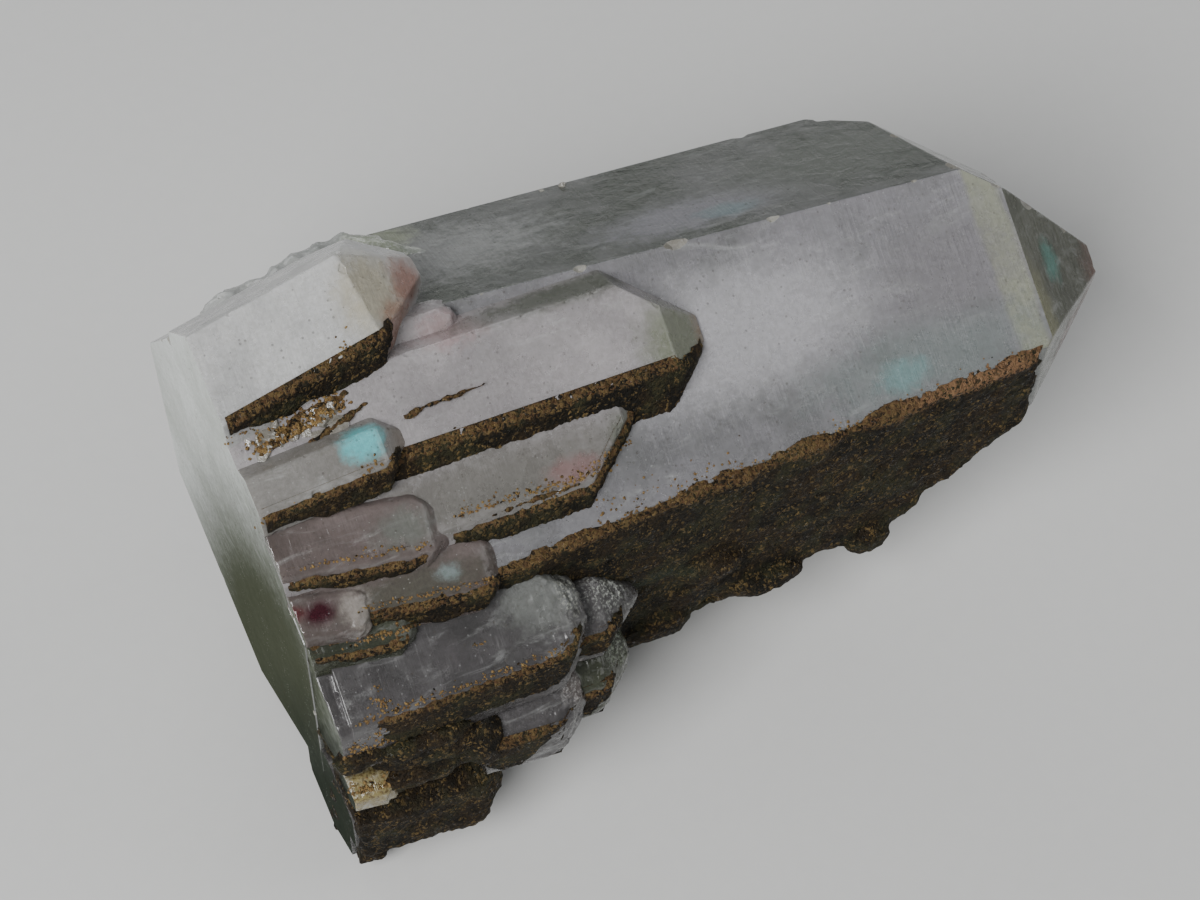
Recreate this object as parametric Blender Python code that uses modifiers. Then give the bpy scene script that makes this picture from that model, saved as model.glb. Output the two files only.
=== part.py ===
"""Ajoite in quartz: one large pointed quartz crystal, sawn flat at its root, with a dozen smaller
crystals grown along its side and a brown iron-stained crust on the faces below them.

The crystal is modelled in millimetres along its own long axis: x runs from the sawn base to the
tip, y across the bright face, and z out of the bright face. The finished meshes are then scaled to
metres, and an empty turns the specimen to the way it lies on a table. Face directions are azimuths
about the long axis, 0 for the bright face.
"""

import math
import random
from dataclasses import dataclass

import bmesh
import bpy
from mathutils import Matrix, Vector, noise

METRES_PER_MM = 0.001
OBJECT_NAME = "ajoite_in_quartz"

# The way the specimen lies: rolled about its long axis, then tipped nose down
LIE_ROLL = math.radians(29.4)
LIE_PITCH = math.radians(1.7)
TABLE_LEVEL = -36.4

# The sawn base is a little out of square: three of its points
SAWN_CORNERS = (
    Vector((-0.8, 25.0, 30.0)),
    Vector((-1.7, 20.0, -20.0)),
    Vector((2.0, -42.0, -12.0)),
)

# Main crystal: each prism face has a distance from the axis at the base and a taper to the tip
CRYSTAL_BLANK = 300
CRYSTAL_MIDDLE = Vector((60, 0, 0))
WELD_LENGTH = 0.02
PRISM_FACES = {
    0: (28.8, 0.038),
    60: (33.0, 0.070),
    120: (25.8, 0.006),
    180: (29.6, 0.050),
    240: (30.2, 0.085),
    298: (25.9, 0.053),
}

# Pointed end: six rhombohedral faces, all at quartz's own angle from the long axis
TIP_ANGLE = math.radians(51.8)
TIP_FACES = {
    0: 84.9,
    65: 81.9,
    120: 76.6,
    180: 63.5,
    240: 72.0,
    300: 81.2,
}
TIP_BLUNT = 119.3
SHOULDER_ANGLE = math.radians(42.7)
SHOULDER_AZIMUTH = 60
SHOULDER_DISTANCE = 93.05

# The edge behind the large upper side crystal is broken off near the base
BROKEN_EDGE_CORNERS = (
    Vector((29, 33.6, 3.0)),
    Vector((-1.5, 26.6, 19.8)),
    Vector((0.0, 29.0, -3.0)),
)

# Crust: how far it stands out from the crystal's faces, and where it stops
TOUCH_GAP = 0.3
CRUST_FACES = {
    0: (30.0, 0.038),
    240: (31.6, 0.085),
    300: (27.0, 0.053),
    180: (31.4, 0.050),
}
CRUST_TIP_FACES = {0: 84.0, 180: 63.2, 240: 71.6, 300: 80.0}
CRUST_START = 2.5
CRUST_REAR_EDGE = 9.0
CRUST_THICKNESS = 1.7
CRUST_CELL = 2.5
CRUST_RELIEF = 0.75
CRUST_RELIEF_SIZE = 5.5
CRUST_FINE_RELIEF = 0.45
CRUST_FINE_SIZE = 2.2


@dataclass(frozen=True)
class SideCrystal:
    """A small six-sided crystal grown on the side of the large one, nearly parallel to it."""

    name: str
    root: tuple
    half_width: float
    length: float
    turn: float = 0.0
    lower_flank: float = 60.0
    upper_flank: float = 60.0
    upper_trim: float = 0.0
    lower_trim: float = 0.0
    blunt: float = 40.0
    dip: float = 2.2
    crusted: bool = False


# Root is the middle of the crystal's top face at its near end, in millimetres. Length runs along
# the top face. The trims draw back the tip faces above and below, and blunt cuts the point short.
SIDE_CRYSTALS = (
    SideCrystal("upper_large", (0, 19.1, 36.8), 5.5, 20.5, turn=11.3, lower_flank=52, upper_flank=80,
                blunt=9.6),
    SideCrystal("middle_large", (0, 9.3, 33.6), 5.7, 55.5, lower_flank=46, upper_trim=-4.5,
                lower_trim=1.0, blunt=5.6),
    SideCrystal("middle_narrow", (0, -1.8, 31.6), 4.7, 47.0, turn=0.4, lower_flank=46,
                upper_trim=2.0, lower_trim=-5.5, blunt=6.0),
    SideCrystal("pink_nub", (14, 17.6, 30.9), 2.4, 18.5, turn=0.5, blunt=2.4),
    SideCrystal("blue_spotted", (0, 4.3, 36.2), 2.6, 17.0, turn=3.2, lower_flank=52, upper_trim=0.5,
                blunt=5.0),
    SideCrystal("purple_round", (0, -1.8, 32.6), 3.2, 20.0, turn=-8.8, lower_flank=50,
                upper_trim=-1.0, lower_trim=0.5, blunt=3.6),
    SideCrystal("purple_low", (2, -8.7, 30.0), 2.8, 23.5, turn=-7.6, lower_flank=50, blunt=3.6),
    SideCrystal("red_broken", (0, -10.1, 30.6), 2.4, 9.4, turn=-13.0, lower_flank=56, blunt=1.2),
    SideCrystal("green_stub", (0, -13.4, 28.8), 2.2, 13.6, turn=-8.0, lower_flank=56, blunt=2.0),
    SideCrystal("lower_large", (3.8, -20.4, 26.2), 5.2, 29.6, upper_trim=-2.0, lower_trim=-1.5,
                blunt=3.0),
    SideCrystal("lower_glassy", (8, -19.6, 21.2), 3.4, 31.0, turn=-4.0, blunt=6.5),
    SideCrystal("lower_round", (6, -29.2, 15.4), 4.2, 26.0, turn=-4.0, upper_trim=-1.5,
                lower_trim=-1.0, blunt=3.4),
    SideCrystal("lower_green", (10, -27.6, 13.4), 3.9, 28.0, turn=-1.5, blunt=5.2),
    SideCrystal("root_crusted", (0, -33.8, 4.2), 4.2, 23.0, turn=-3.0, blunt=3.0, crusted=True),
    SideCrystal("corner_crusted", (0, -36.2, -4.4), 4.0, 6.0, blunt=3.0, crusted=True),
)

# Broken quartz between the side crystals and along the rim: middle of each patch, spread, count
# and size of a chip
RUBBLE_PATCHES = (
    ((9.5, 10.6, 32.2), (6.5, 1.8, 0.6), 10, 2.5),
    ((9.0, 26.2, 25.0), (6.0, 1.4, 2.5), 7, 2.7),
    ((24.0, 27.6, 20.6), (4.5, 1.4, 2.0), 6, 2.7),
    ((5.0, -23.0, 22.5), (2.0, 3.5, 2.0), 6, 2.6),
)
CHIP_SEED = 11
CHIP_STRETCH = (0.65, 1.25)

# Grown copies for hollowing the crust end this many gaps further out than the sawn base
GROWN_CRYSTAL_STEPS = 2
GROWN_CHIP_STEPS = 1.5

# Lumps of crust: middle and radii in millimetres. The last rows are feet that reach the table.
CRUST_LUMPS = (
    ((82.0, -26.8, -2.2), (3.4, 2.0, 2.6)),
    ((66.0, -27.2, -2.0), (6.0, 2.0, 4.0)),
    ((48.0, -28.0, -4.0), (8.0, 2.6, 5.0)),
    ((57.0, -22.6, 8.0), (5.0, 2.4, 4.0)),
    ((13.0, -35.2, -6.0), (11.4, 5.8, 10.2)),
    ((7.4, -38.4, -11.0), (5.6, 5.6, 7.4)),
    ((25.0, -33.0, -5.0), (8.0, 4.6, 6.0)),
    ((9.0, -38.4, -15.0), (7.4, 5.6, 6.0)),
    ((14.0, -20.0, -30.4), (11.6, 7.0, 6.0)),
    ((58.0, -15.0, -27.4), (11.0, 7.0, 7.4)),
    ((62.0, -3.0, -28.4), (9.0, 8.0, 9.4)),
)
LUMP_SUBDIVISIONS = 3


def prism_plane(azimuth, face):
    """Plane of a prism face, from its distance at the base and its taper towards the tip."""
    distance, taper = face
    angle = math.radians(azimuth)
    slope = Vector((taper, math.sin(angle), math.cos(angle)))
    return slope.normalized(), distance / slope.length


def tip_normal(azimuth, slant=TIP_ANGLE):
    """Outward direction of a face of the pointed end, by its azimuth and its angle from the axis."""
    angle = math.radians(azimuth)
    across = math.sin(slant)
    return Vector((math.cos(slant), across * math.sin(angle), across * math.cos(angle)))


def plane_through(corners, inner_point):
    """Plane through three corners, facing away from a point inside the crystal."""
    first, second, third = corners
    normal = (second - first).cross(third - first).normalized()
    if normal.dot(inner_point - first) > 0:
        normal = -normal
    return normal, normal.dot(first)


def cut(shape, normal, distance):
    """Take away what lies beyond a plane and close the cut with a flat face."""
    everything = shape.verts[:] + shape.edges[:] + shape.faces[:]
    bmesh.ops.bisect_plane(
        shape, geom=everything, plane_co=normal * distance, plane_no=normal, clear_outer=True
    )
    rim = [edge for edge in shape.edges if edge.is_boundary]
    if rim:
        bmesh.ops.holes_fill(shape, edges=rim)


def weld_short_edges(shape):
    """Close up edges too short to matter, such as those where six tip faces meet."""
    bmesh.ops.remove_doubles(shape, verts=shape.verts, dist=WELD_LENGTH)
    bmesh.ops.dissolve_degenerate(shape, edges=shape.edges, dist=WELD_LENGTH)


def cut_from_block(planes):
    """Flat-faced solid left when a large block is cut by each plane in turn."""
    shape = bmesh.new()
    bmesh.ops.create_cube(shape, size=CRYSTAL_BLANK)
    for normal, distance in planes:
        cut(shape, normal, distance)
    weld_short_edges(shape)
    return shape


def make_object(name, shape, collection):
    """Put a bmesh into a new object of the collection."""
    mesh = bpy.data.meshes.new(name)
    shape.to_mesh(mesh)
    shape.free()
    made = bpy.data.objects.new(name, mesh)
    collection.objects.link(made)
    return made


def mark_as_cutter(cutter):
    """Show a cutter as wires and keep it out of renders."""
    cutter.hide_render = True
    cutter.display_type = "WIRE"


def combine(target, other, operation):
    """Join another solid to the target, or cut it out, and keep the result as its mesh."""
    modifier = target.modifiers.new(operation.lower(), "BOOLEAN")
    modifier.operation = operation
    modifier.solver = "EXACT"
    modifier.object = other
    depsgraph = bpy.context.evaluated_depsgraph_get()
    joined = bpy.data.meshes.new_from_object(target.evaluated_get(depsgraph))
    target.modifiers.remove(modifier)
    shape = bmesh.new()
    shape.from_mesh(joined)
    weld_short_edges(shape)
    shape.to_mesh(joined)
    shape.free()
    target.data = joined


def main_crystal_planes(grow):
    """All planes of the large crystal, each moved out by grow."""
    planes = [plane_through(SAWN_CORNERS, CRYSTAL_MIDDLE)]
    planes += [prism_plane(azimuth, face) for azimuth, face in PRISM_FACES.items()]
    planes += [(tip_normal(azimuth), distance) for azimuth, distance in TIP_FACES.items()]
    planes.append((tip_normal(SHOULDER_AZIMUTH, SHOULDER_ANGLE), SHOULDER_DISTANCE))
    planes.append((Vector((1, 0, 0)), TIP_BLUNT))
    planes.append(plane_through(BROKEN_EDGE_CORNERS, CRYSTAL_MIDDLE))
    return [(normal, distance + grow) for normal, distance in planes]


def side_crystal_shape(crystal, grow, number):
    """A side crystal, cut from a block in its own frame and then turned into place.

    Grown copies end a little further out one after the other, so that no two ends coincide.
    """
    half_width = crystal.half_width
    apothem = half_width * math.sqrt(3)
    middle = Vector((0, 0, -apothem))
    planes = []
    for azimuth in (0, 120, 180, 240):
        normal, _ = prism_plane(azimuth, (0, 0))
        planes.append((normal, apothem + normal.dot(middle)))
    for side, slant in ((1, crystal.upper_flank), (-1, crystal.lower_flank)):
        flank = math.radians(slant)
        normal = Vector((0, side * math.sin(flank), math.cos(flank)))
        planes.append((normal, half_width * math.sin(flank)))

    upper, lower = crystal.upper_trim, crystal.lower_trim
    trims = {0: 0.0, 60: upper, 120: upper, 180: 0.0, 240: lower, 300: lower}
    for azimuth, trim_length in trims.items():
        edge = crystal.length + trim_length
        normal = tip_normal(azimuth)
        reach = edge * normal.x + apothem * math.sin(TIP_ANGLE)
        planes.append((normal, reach + normal.dot(middle)))
    planes.append((Vector((1, 0, 0)), crystal.length + crystal.blunt))
    shape = cut_from_block([(normal, distance + grow) for normal, distance in planes])

    place = Matrix.Translation(Vector(crystal.root))
    place = place @ Matrix.Rotation(math.radians(crystal.turn), 4, "Z")
    place = place @ Matrix.Rotation(math.radians(crystal.dip), 4, "Y")
    shape.transform(place)
    if crystal.root[0] > 0:
        cut(shape, Vector((-1, 0, 0)), grow - crystal.root[0])
    normal, distance = plane_through(SAWN_CORNERS, CRYSTAL_MIDDLE)
    cut(shape, normal, distance + grow * (GROWN_CRYSTAL_STEPS + number))
    return shape


def rubble_shape(middle, spread, size, picker):
    """One broken chip of quartz, a faceted lump turned at random."""
    shape = bmesh.new()
    bmesh.ops.create_icosphere(shape, subdivisions=1, radius=size)
    stretch = Vector([picker.uniform(*CHIP_STRETCH) for _ in range(3)])
    bmesh.ops.scale(shape, vec=stretch, verts=shape.verts)
    turn = Matrix.Rotation(picker.uniform(0, math.tau), 4, Vector([picker.gauss(0, 1) for _ in range(3)]))
    shape.transform(turn)
    offset = Vector([picker.uniform(-reach, reach) for reach in spread])
    shape.transform(Matrix.Translation(Vector(middle) + offset))
    return shape


def build_quartz(name, collection, cutters, grow):
    """The whole quartz cluster as one solid: large crystal, side crystals and broken chips."""
    quartz = make_object(name, cut_from_block(main_crystal_planes(grow)), collection)
    for number, crystal in enumerate(SIDE_CRYSTALS):
        grown = make_object(f"{name}_{crystal.name}", side_crystal_shape(crystal, grow, number), cutters)
        mark_as_cutter(grown)
        combine(quartz, grown, "UNION")
    picker = random.Random(CHIP_SEED)
    sawn, sawn_distance = plane_through(SAWN_CORNERS, CRYSTAL_MIDDLE)
    for middle, spread, count, size in RUBBLE_PATCHES:
        for number in range(count):
            chip = rubble_shape(middle, spread, size + grow, picker)
            cut(chip, sawn, sawn_distance + GROWN_CHIP_STEPS * grow)
            piece = make_object(f"{name}_chip_{number}", chip, cutters)
            mark_as_cutter(piece)
            combine(quartz, piece, "UNION")
    keep_largest_body(quartz)
    return quartz


def table_plane(level):
    """Plane of the table top, facing down, in the crystal's own frame."""
    lie = Matrix.Rotation(LIE_PITCH, 3, "Y") @ Matrix.Rotation(LIE_ROLL, 3, "X")
    up = lie.transposed() @ Vector((0, 0, 1))
    return -up, -level


def crust_sheet_shape():
    """Outer form of the crust over the lower faces, still filled where the crystal runs through."""
    planes = [prism_plane(azimuth, face) for azimuth, face in CRUST_FACES.items()]
    planes += [(tip_normal(azimuth), distance) for azimuth, distance in CRUST_TIP_FACES.items()]
    planes.append(plane_through(SAWN_CORNERS, CRYSTAL_MIDDLE))
    planes.append((Vector((0, 1, 0)), CRUST_REAR_EDGE))
    return cut_from_block(planes)


def lump_shape(middle, radii):
    """One rounded lump of crust."""
    shape = bmesh.new()
    bmesh.ops.create_icosphere(shape, subdivisions=LUMP_SUBDIVISIONS, radius=1.0)
    bmesh.ops.scale(shape, vec=Vector(radii), verts=shape.verts)
    bmesh.ops.translate(shape, vec=Vector(middle), verts=shape.verts)
    return shape


def fuse_evenly(target, cell):
    """Melt overlapping shapes into one skin of even cells."""
    modifier = target.modifiers.new("fuse", "REMESH")
    modifier.mode = "VOXEL"
    modifier.voxel_size = cell
    modifier.adaptivity = 0.0
    depsgraph = bpy.context.evaluated_depsgraph_get()
    fused = bpy.data.meshes.new_from_object(target.evaluated_get(depsgraph))
    target.modifiers.remove(modifier)
    target.data = fused


def roughen(target):
    """Push the crust's skin in and out by a pattern of lumps."""
    shape = bmesh.new()
    shape.from_mesh(target.data)
    shape.normal_update()
    for vert in shape.verts:
        broad = CRUST_RELIEF * noise.noise(vert.co / CRUST_RELIEF_SIZE)
        fine = CRUST_FINE_RELIEF * noise.noise(vert.co / CRUST_FINE_SIZE)
        vert.co += vert.normal * (broad + fine)
    shape.to_mesh(target.data)
    shape.free()


def keep_largest_body(target):
    """Drop loose crumbs that a cut may leave, so that one closed body remains."""
    shape = bmesh.new()
    shape.from_mesh(target.data)
    waiting = set(shape.verts)
    bodies = []
    while waiting:
        body = set()
        front = [waiting.pop()]
        while front:
            vert = front.pop()
            body.add(vert)
            for edge in vert.link_edges:
                other = edge.other_vert(vert)
                if other in waiting:
                    waiting.discard(other)
                    front.append(other)
        bodies.append(body)
    bodies.sort(key=len)
    crumbs = [vert for body in bodies[:-1] for vert in body]
    bmesh.ops.delete(shape, geom=crumbs, context="VERTS")
    shape.to_mesh(target.data)
    shape.free()


def trim(target, planes):
    """Cut a finished object by planes and close each cut."""
    shape = bmesh.new()
    shape.from_mesh(target.data)
    for normal, distance in planes:
        cut(shape, normal, distance)
    shape.to_mesh(target.data)
    shape.free()


def build_crust(collection, cutters):
    """The iron-stained crust as one solid, lying on the quartz with a hair's gap."""
    whole = crust_sheet_shape()
    shapes = [lump_shape(middle, radii) for middle, radii in CRUST_LUMPS]
    shapes += [side_crystal_shape(one, CRUST_THICKNESS, 0) for one in SIDE_CRYSTALS if one.crusted]
    for shape in shapes:
        added = bpy.data.meshes.new("crust_part")
        shape.to_mesh(added)
        shape.free()
        whole.from_mesh(added)
    crust = make_object("iron_stained_crust", whole, collection)
    fuse_evenly(crust, CRUST_CELL)
    roughen(crust)

    top_normal, top_distance = prism_plane(0, PRISM_FACES[0])
    edges = [table_plane(TABLE_LEVEL), (top_normal, top_distance - TOUCH_GAP)]
    sawn, sawn_distance = plane_through(SAWN_CORNERS, CRYSTAL_MIDDLE)
    edges.append((sawn, sawn_distance - CRUST_START))
    trim(crust, edges)

    hollow = build_quartz("crust_hollow", cutters, cutters, TOUCH_GAP)
    mark_as_cutter(hollow)
    combine(crust, hollow, "DIFFERENCE")
    keep_largest_body(crust)
    return crust


def make_material(name, colour, roughness, see_through):
    """A plain finish with the piece's own colour."""
    material = bpy.data.materials.new(name)
    material.use_nodes = True
    shader = material.node_tree.nodes["Principled BSDF"]
    shader.inputs["Base Color"].default_value = (*colour, 1.0)
    shader.inputs["Roughness"].default_value = roughness
    shader.inputs["Metallic"].default_value = 0.0
    shader.inputs["IOR"].default_value = 1.544
    shader.inputs["Transmission Weight"].default_value = see_through
    return material


def set_finish(piece, material):
    """Give a piece its material and keep its crystal faces flat."""
    piece.data.materials.clear()
    piece.data.materials.append(material)
    piece.data.shade_flat()


def lay_down(pieces, collection):
    """Turn the specimen to the way it lies, with the origin at the middle of its footprint."""
    for piece in pieces:
        piece.data.transform(Matrix.Scale(METRES_PER_MM, 4))
    lie = Matrix.Rotation(LIE_PITCH, 4, "Y") @ Matrix.Rotation(LIE_ROLL, 4, "X")
    corners = [lie @ vert.co for piece in pieces for vert in piece.data.vertices]
    lowest = [min(corner[axis] for corner in corners) for axis in range(3)]
    highest = [max(corner[axis] for corner in corners) for axis in range(3)]
    frame = bpy.data.objects.new("specimen_lie", None)
    collection.objects.link(frame)
    frame.rotation_euler = (LIE_ROLL, LIE_PITCH, 0.0)
    frame.location = (
        -(lowest[0] + highest[0]) / 2,
        -(lowest[1] + highest[1]) / 2,
        -lowest[2],
    )
    for piece in pieces:
        piece.parent = frame


def clear_scene():
    """Remove whatever the open file holds."""
    for left_over in list(bpy.data.objects):
        bpy.data.objects.remove(left_over, do_unlink=True)


def main():
    """Build the specimen."""
    clear_scene()
    specimen = bpy.data.collections.new(OBJECT_NAME)
    cutters = bpy.data.collections.new("cutters")
    bpy.context.scene.collection.children.link(specimen)
    bpy.context.scene.collection.children.link(cutters)

    quartz = build_quartz("quartz_cluster", specimen, cutters, 0.0)
    crust = build_crust(specimen, cutters)
    set_finish(quartz, make_material("milky_quartz", (0.62, 0.63, 0.61), 0.18, 0.4))
    set_finish(crust, make_material("iron_stained_crust", (0.10, 0.065, 0.025), 0.75, 0.0))
    lay_down([quartz, crust], specimen)


main()
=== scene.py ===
"""Looks of an ajoite in quartz specimen: milky crystals with turquoise and rusty inclusions, and a
brown iron-stained crust on their lower faces.

Shapes are worked out in millimetres along the large crystal's own long axis: x runs from the sawn
base to the tip, y across the bright face, z out of the bright face. The finished meshes are then
laid down where the frame's pieces lie.
"""

import logging
import math
import random
from collections.abc import Callable, Iterator
from contextlib import contextmanager
from dataclasses import dataclass, field
from enum import Enum

import bmesh
import bpy
from mathutils import Euler, Matrix, Vector, noise
from mathutils.bvhtree import BVHTree


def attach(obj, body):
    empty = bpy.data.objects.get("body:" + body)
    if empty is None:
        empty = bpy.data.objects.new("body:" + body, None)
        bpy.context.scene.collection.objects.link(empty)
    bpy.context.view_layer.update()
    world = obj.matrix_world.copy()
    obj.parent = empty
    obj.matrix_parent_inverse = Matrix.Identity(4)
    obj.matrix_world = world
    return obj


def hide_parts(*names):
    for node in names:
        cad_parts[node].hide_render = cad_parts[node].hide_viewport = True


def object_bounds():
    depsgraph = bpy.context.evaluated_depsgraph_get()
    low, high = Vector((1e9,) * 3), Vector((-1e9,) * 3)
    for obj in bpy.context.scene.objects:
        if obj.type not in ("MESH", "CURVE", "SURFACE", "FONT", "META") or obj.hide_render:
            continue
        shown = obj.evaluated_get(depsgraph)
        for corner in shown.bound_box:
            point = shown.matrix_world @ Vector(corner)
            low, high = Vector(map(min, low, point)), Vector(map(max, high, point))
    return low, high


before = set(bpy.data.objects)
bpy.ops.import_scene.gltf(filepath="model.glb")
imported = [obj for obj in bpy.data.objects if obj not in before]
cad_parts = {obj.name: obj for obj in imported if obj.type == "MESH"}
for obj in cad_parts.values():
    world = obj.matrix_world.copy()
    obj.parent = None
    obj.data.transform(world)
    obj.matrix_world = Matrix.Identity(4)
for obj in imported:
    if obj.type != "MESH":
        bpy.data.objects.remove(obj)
CAD_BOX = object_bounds()

log = logging.getLogger("specimen")

METRES_PER_MM = 0.001
LIE_ROLL = math.radians(29.4)
LIE_PITCH = math.radians(1.7)
LIE_PLACE = Vector((-0.05877, 0.00611, 0.03640))

BLANK = 300.0
WELD_LENGTH = 0.02
TIP_ANGLE = math.radians(51.8)
ROOT_THREE = math.sqrt(3)
RIM_ATTRIBUTE = "rim"
QUARTZ_IOR = 1.544


def clamp(value: float, low: float = 0.0, high: float = 1.0) -> float:
    """A value kept between two limits."""
    return min(max(value, low), high)


def lie_matrix() -> Matrix:
    """Placement of the crystal's own millimetre frame in the row frame, in metres.

    Returns:
        The matrix that lays the specimen down.
    """
    turn = Euler((LIE_ROLL, LIE_PITCH, 0.0)).to_matrix().to_4x4()
    return Matrix.Translation(LIE_PLACE) @ turn @ Matrix.Scale(METRES_PER_MM, 4)


@dataclass(frozen=True)
class CutPlane:
    """A flat cut: what lies beyond it along its normal is taken away."""

    normal: Vector
    distance: float

    def moved(self, step: float) -> "CutPlane":
        """The same plane moved outwards by a step."""
        return CutPlane(self.normal, self.distance + step)

    def reversed(self) -> "CutPlane":
        """The same plane keeping the other side."""
        return CutPlane(-self.normal, -self.distance)

    def height(self, point: Vector) -> float:
        """How far a point stands beyond the plane."""
        return self.normal.dot(point) - self.distance


def prism_plane(azimuth: float, distance: float, taper: float = 0.0) -> CutPlane:
    """Plane of a prism face.

    Args:
        azimuth: direction about the long axis in degrees, 0 for the bright face.
        distance: distance from the axis at the base.
        taper: how much it draws in for each millimetre along the axis.

    Returns:
        The plane.
    """
    angle = math.radians(azimuth)
    slope = Vector((taper, math.sin(angle), math.cos(angle)))
    return CutPlane(slope.normalized(), distance / slope.length)


def tip_plane(azimuth: float, distance: float, slant: float = TIP_ANGLE) -> CutPlane:
    """Plane of a face of the pointed end.

    Args:
        azimuth: direction about the long axis in degrees.
        distance: distance from the frame's origin.
        slant: angle between the face's normal and the long axis.

    Returns:
        The plane.
    """
    angle = math.radians(azimuth)
    across = math.sin(slant)
    normal = Vector((math.cos(slant), across * math.sin(angle), across * math.cos(angle)))
    return CutPlane(normal, distance)


def plane_through(corners: tuple, inner_point: Vector) -> CutPlane:
    """Plane through three corners that faces away from an inner point.

    Args:
        corners: three points.
        inner_point: a point on the side that stays.

    Returns:
        The plane.
    """
    first, second, third = (Vector(corner) for corner in corners)
    normal = (second - first).cross(third - first).normalized()
    if normal.dot(inner_point - first) > 0:
        normal = -normal
    return CutPlane(normal, normal.dot(first))


def cut(shape: bmesh.types.BMesh, plane: CutPlane) -> None:
    """Take away what lies beyond a plane and close the cut.

    Args:
        shape: the solid to cut.
        plane: where to cut it.
    """
    everything = shape.verts[:] + shape.edges[:] + shape.faces[:]
    bmesh.ops.bisect_plane(
        shape,
        geom=everything,
        plane_co=plane.normal * plane.distance,
        plane_no=plane.normal,
        clear_outer=True,
    )
    rim = [edge for edge in shape.edges if edge.is_boundary]
    if rim:
        bmesh.ops.holes_fill(shape, edges=rim)


def weld(shape: bmesh.types.BMesh) -> None:
    """Close up edges too short to matter.

    Args:
        shape: the solid to tidy.
    """
    bmesh.ops.remove_doubles(shape, verts=shape.verts, dist=WELD_LENGTH)
    bmesh.ops.dissolve_degenerate(shape, edges=shape.edges, dist=WELD_LENGTH)


def cut_from_block(planes: list) -> bmesh.types.BMesh:
    """Flat-faced solid left when a large block is cut by each plane in turn.

    Args:
        planes: the cuts.

    Returns:
        The solid.
    """
    shape = bmesh.new()
    bmesh.ops.create_cube(shape, size=BLANK)
    for plane in planes:
        cut(shape, plane)
    weld(shape)
    shape.normal_update()
    return shape


def soften(shape: bmesh.types.BMesh, width: float, segments: int) -> None:
    """Round a solid's edges.

    Args:
        shape: the solid.
        width: how far back from each edge the rounding starts.
        segments: facets across the rounding.
    """
    bmesh.ops.bevel(
        shape,
        geom=shape.edges[:],
        offset=width,
        segments=segments,
        profile=0.5,
        affect="EDGES",
        material=-1,
        clamp_overlap=True,
    )
    bmesh.ops.remove_doubles(shape, verts=shape.verts, dist=WELD_LENGTH)


def ball(middle: Vector, radii: Vector, fineness: int = 3) -> bmesh.types.BMesh:
    """A stretched ball.

    Args:
        middle: its middle.
        radii: its half widths.
        fineness: how many times its faces are divided.

    Returns:
        The solid.
    """
    shape = bmesh.new()
    bmesh.ops.create_icosphere(shape, subdivisions=fineness, radius=1.0)
    bmesh.ops.scale(shape, vec=Vector(radii), verts=shape.verts)
    bmesh.ops.translate(shape, vec=Vector(middle), verts=shape.verts)
    return shape


def gathered(shapes: list) -> bmesh.types.BMesh:
    """Several solids in one bmesh, still overlapping.

    Args:
        shapes: the solids, which are freed.

    Returns:
        The bmesh that holds them all.
    """
    whole = bmesh.new()
    for shape in shapes:
        added = bpy.data.meshes.new("part")
        shape.to_mesh(added)
        shape.free()
        whole.from_mesh(added)
        bpy.data.meshes.remove(added)
    return whole


def as_object(name: str, shape: bmesh.types.BMesh, materials: tuple = ()) -> bpy.types.Object:
    """Put a bmesh into a new object of the scene.

    Args:
        name: the object's name.
        shape: the solid, which is freed.
        materials: its material slots.

    Returns:
        The object.
    """
    mesh = bpy.data.meshes.new(name)
    shape.to_mesh(mesh)
    shape.free()
    for material in materials:
        mesh.materials.append(material)
    made = bpy.data.objects.new(name, mesh)
    bpy.context.scene.collection.objects.link(made)
    return made


@contextmanager
def editing(target: bpy.types.Object) -> Iterator[bmesh.types.BMesh]:
    """Open an object's mesh as a bmesh, and keep what is done to it.

    Args:
        target: the object.

    Yields:
        The bmesh.
    """
    shape = bmesh.new()
    shape.from_mesh(target.data)
    yield shape
    shape.to_mesh(target.data)
    shape.free()


def keep_modified_mesh(target: bpy.types.Object) -> None:
    """Make what the target's modifiers give its own mesh.

    Args:
        target: the object.
    """
    depsgraph = bpy.context.evaluated_depsgraph_get()
    made = bpy.data.meshes.new_from_object(target.evaluated_get(depsgraph))
    target.modifiers.clear()
    target.data = made


class Joining(Enum):
    """Ways to combine two solids."""

    UNION = "UNION"
    DIFFERENCE = "DIFFERENCE"


def is_closed(target: bpy.types.Object) -> bool:
    """Whether every edge of an object's mesh lies between exactly two faces.

    Args:
        target: the object.

    Returns:
        True for a closed mesh.
    """
    shape = bmesh.new()
    shape.from_mesh(target.data)
    closed = all(edge.is_manifold for edge in shape.edges)
    shape.free()
    return closed


def combine(target: bpy.types.Object, other: bpy.types.Object, joining: Joining) -> None:
    """Join another solid to the target, or cut it out, and remove that other solid.

    Args:
        target: the object that keeps the result.
        other: the object joined or cut out.
        joining: which of the two.
    """
    modifier = target.modifiers.new("combine", "BOOLEAN")
    modifier.operation = joining.value
    modifier.solver = "MANIFOLD" if is_closed(target) and is_closed(other) else "EXACT"
    modifier.object = other
    keep_modified_mesh(target)
    bpy.data.objects.remove(other)


def melt(target: bpy.types.Object, cell: float, smooth: bool = False) -> None:
    """Melt overlapping shapes into one skin of even cells.

    Args:
        target: the object.
        cell: size of a cell.
        smooth: whether the skin is shaded smooth.
    """
    modifier = target.modifiers.new("melt", "REMESH")
    modifier.mode = "VOXEL"
    modifier.voxel_size = cell
    modifier.adaptivity = 0.0
    modifier.use_smooth_shade = smooth
    keep_modified_mesh(target)


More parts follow.
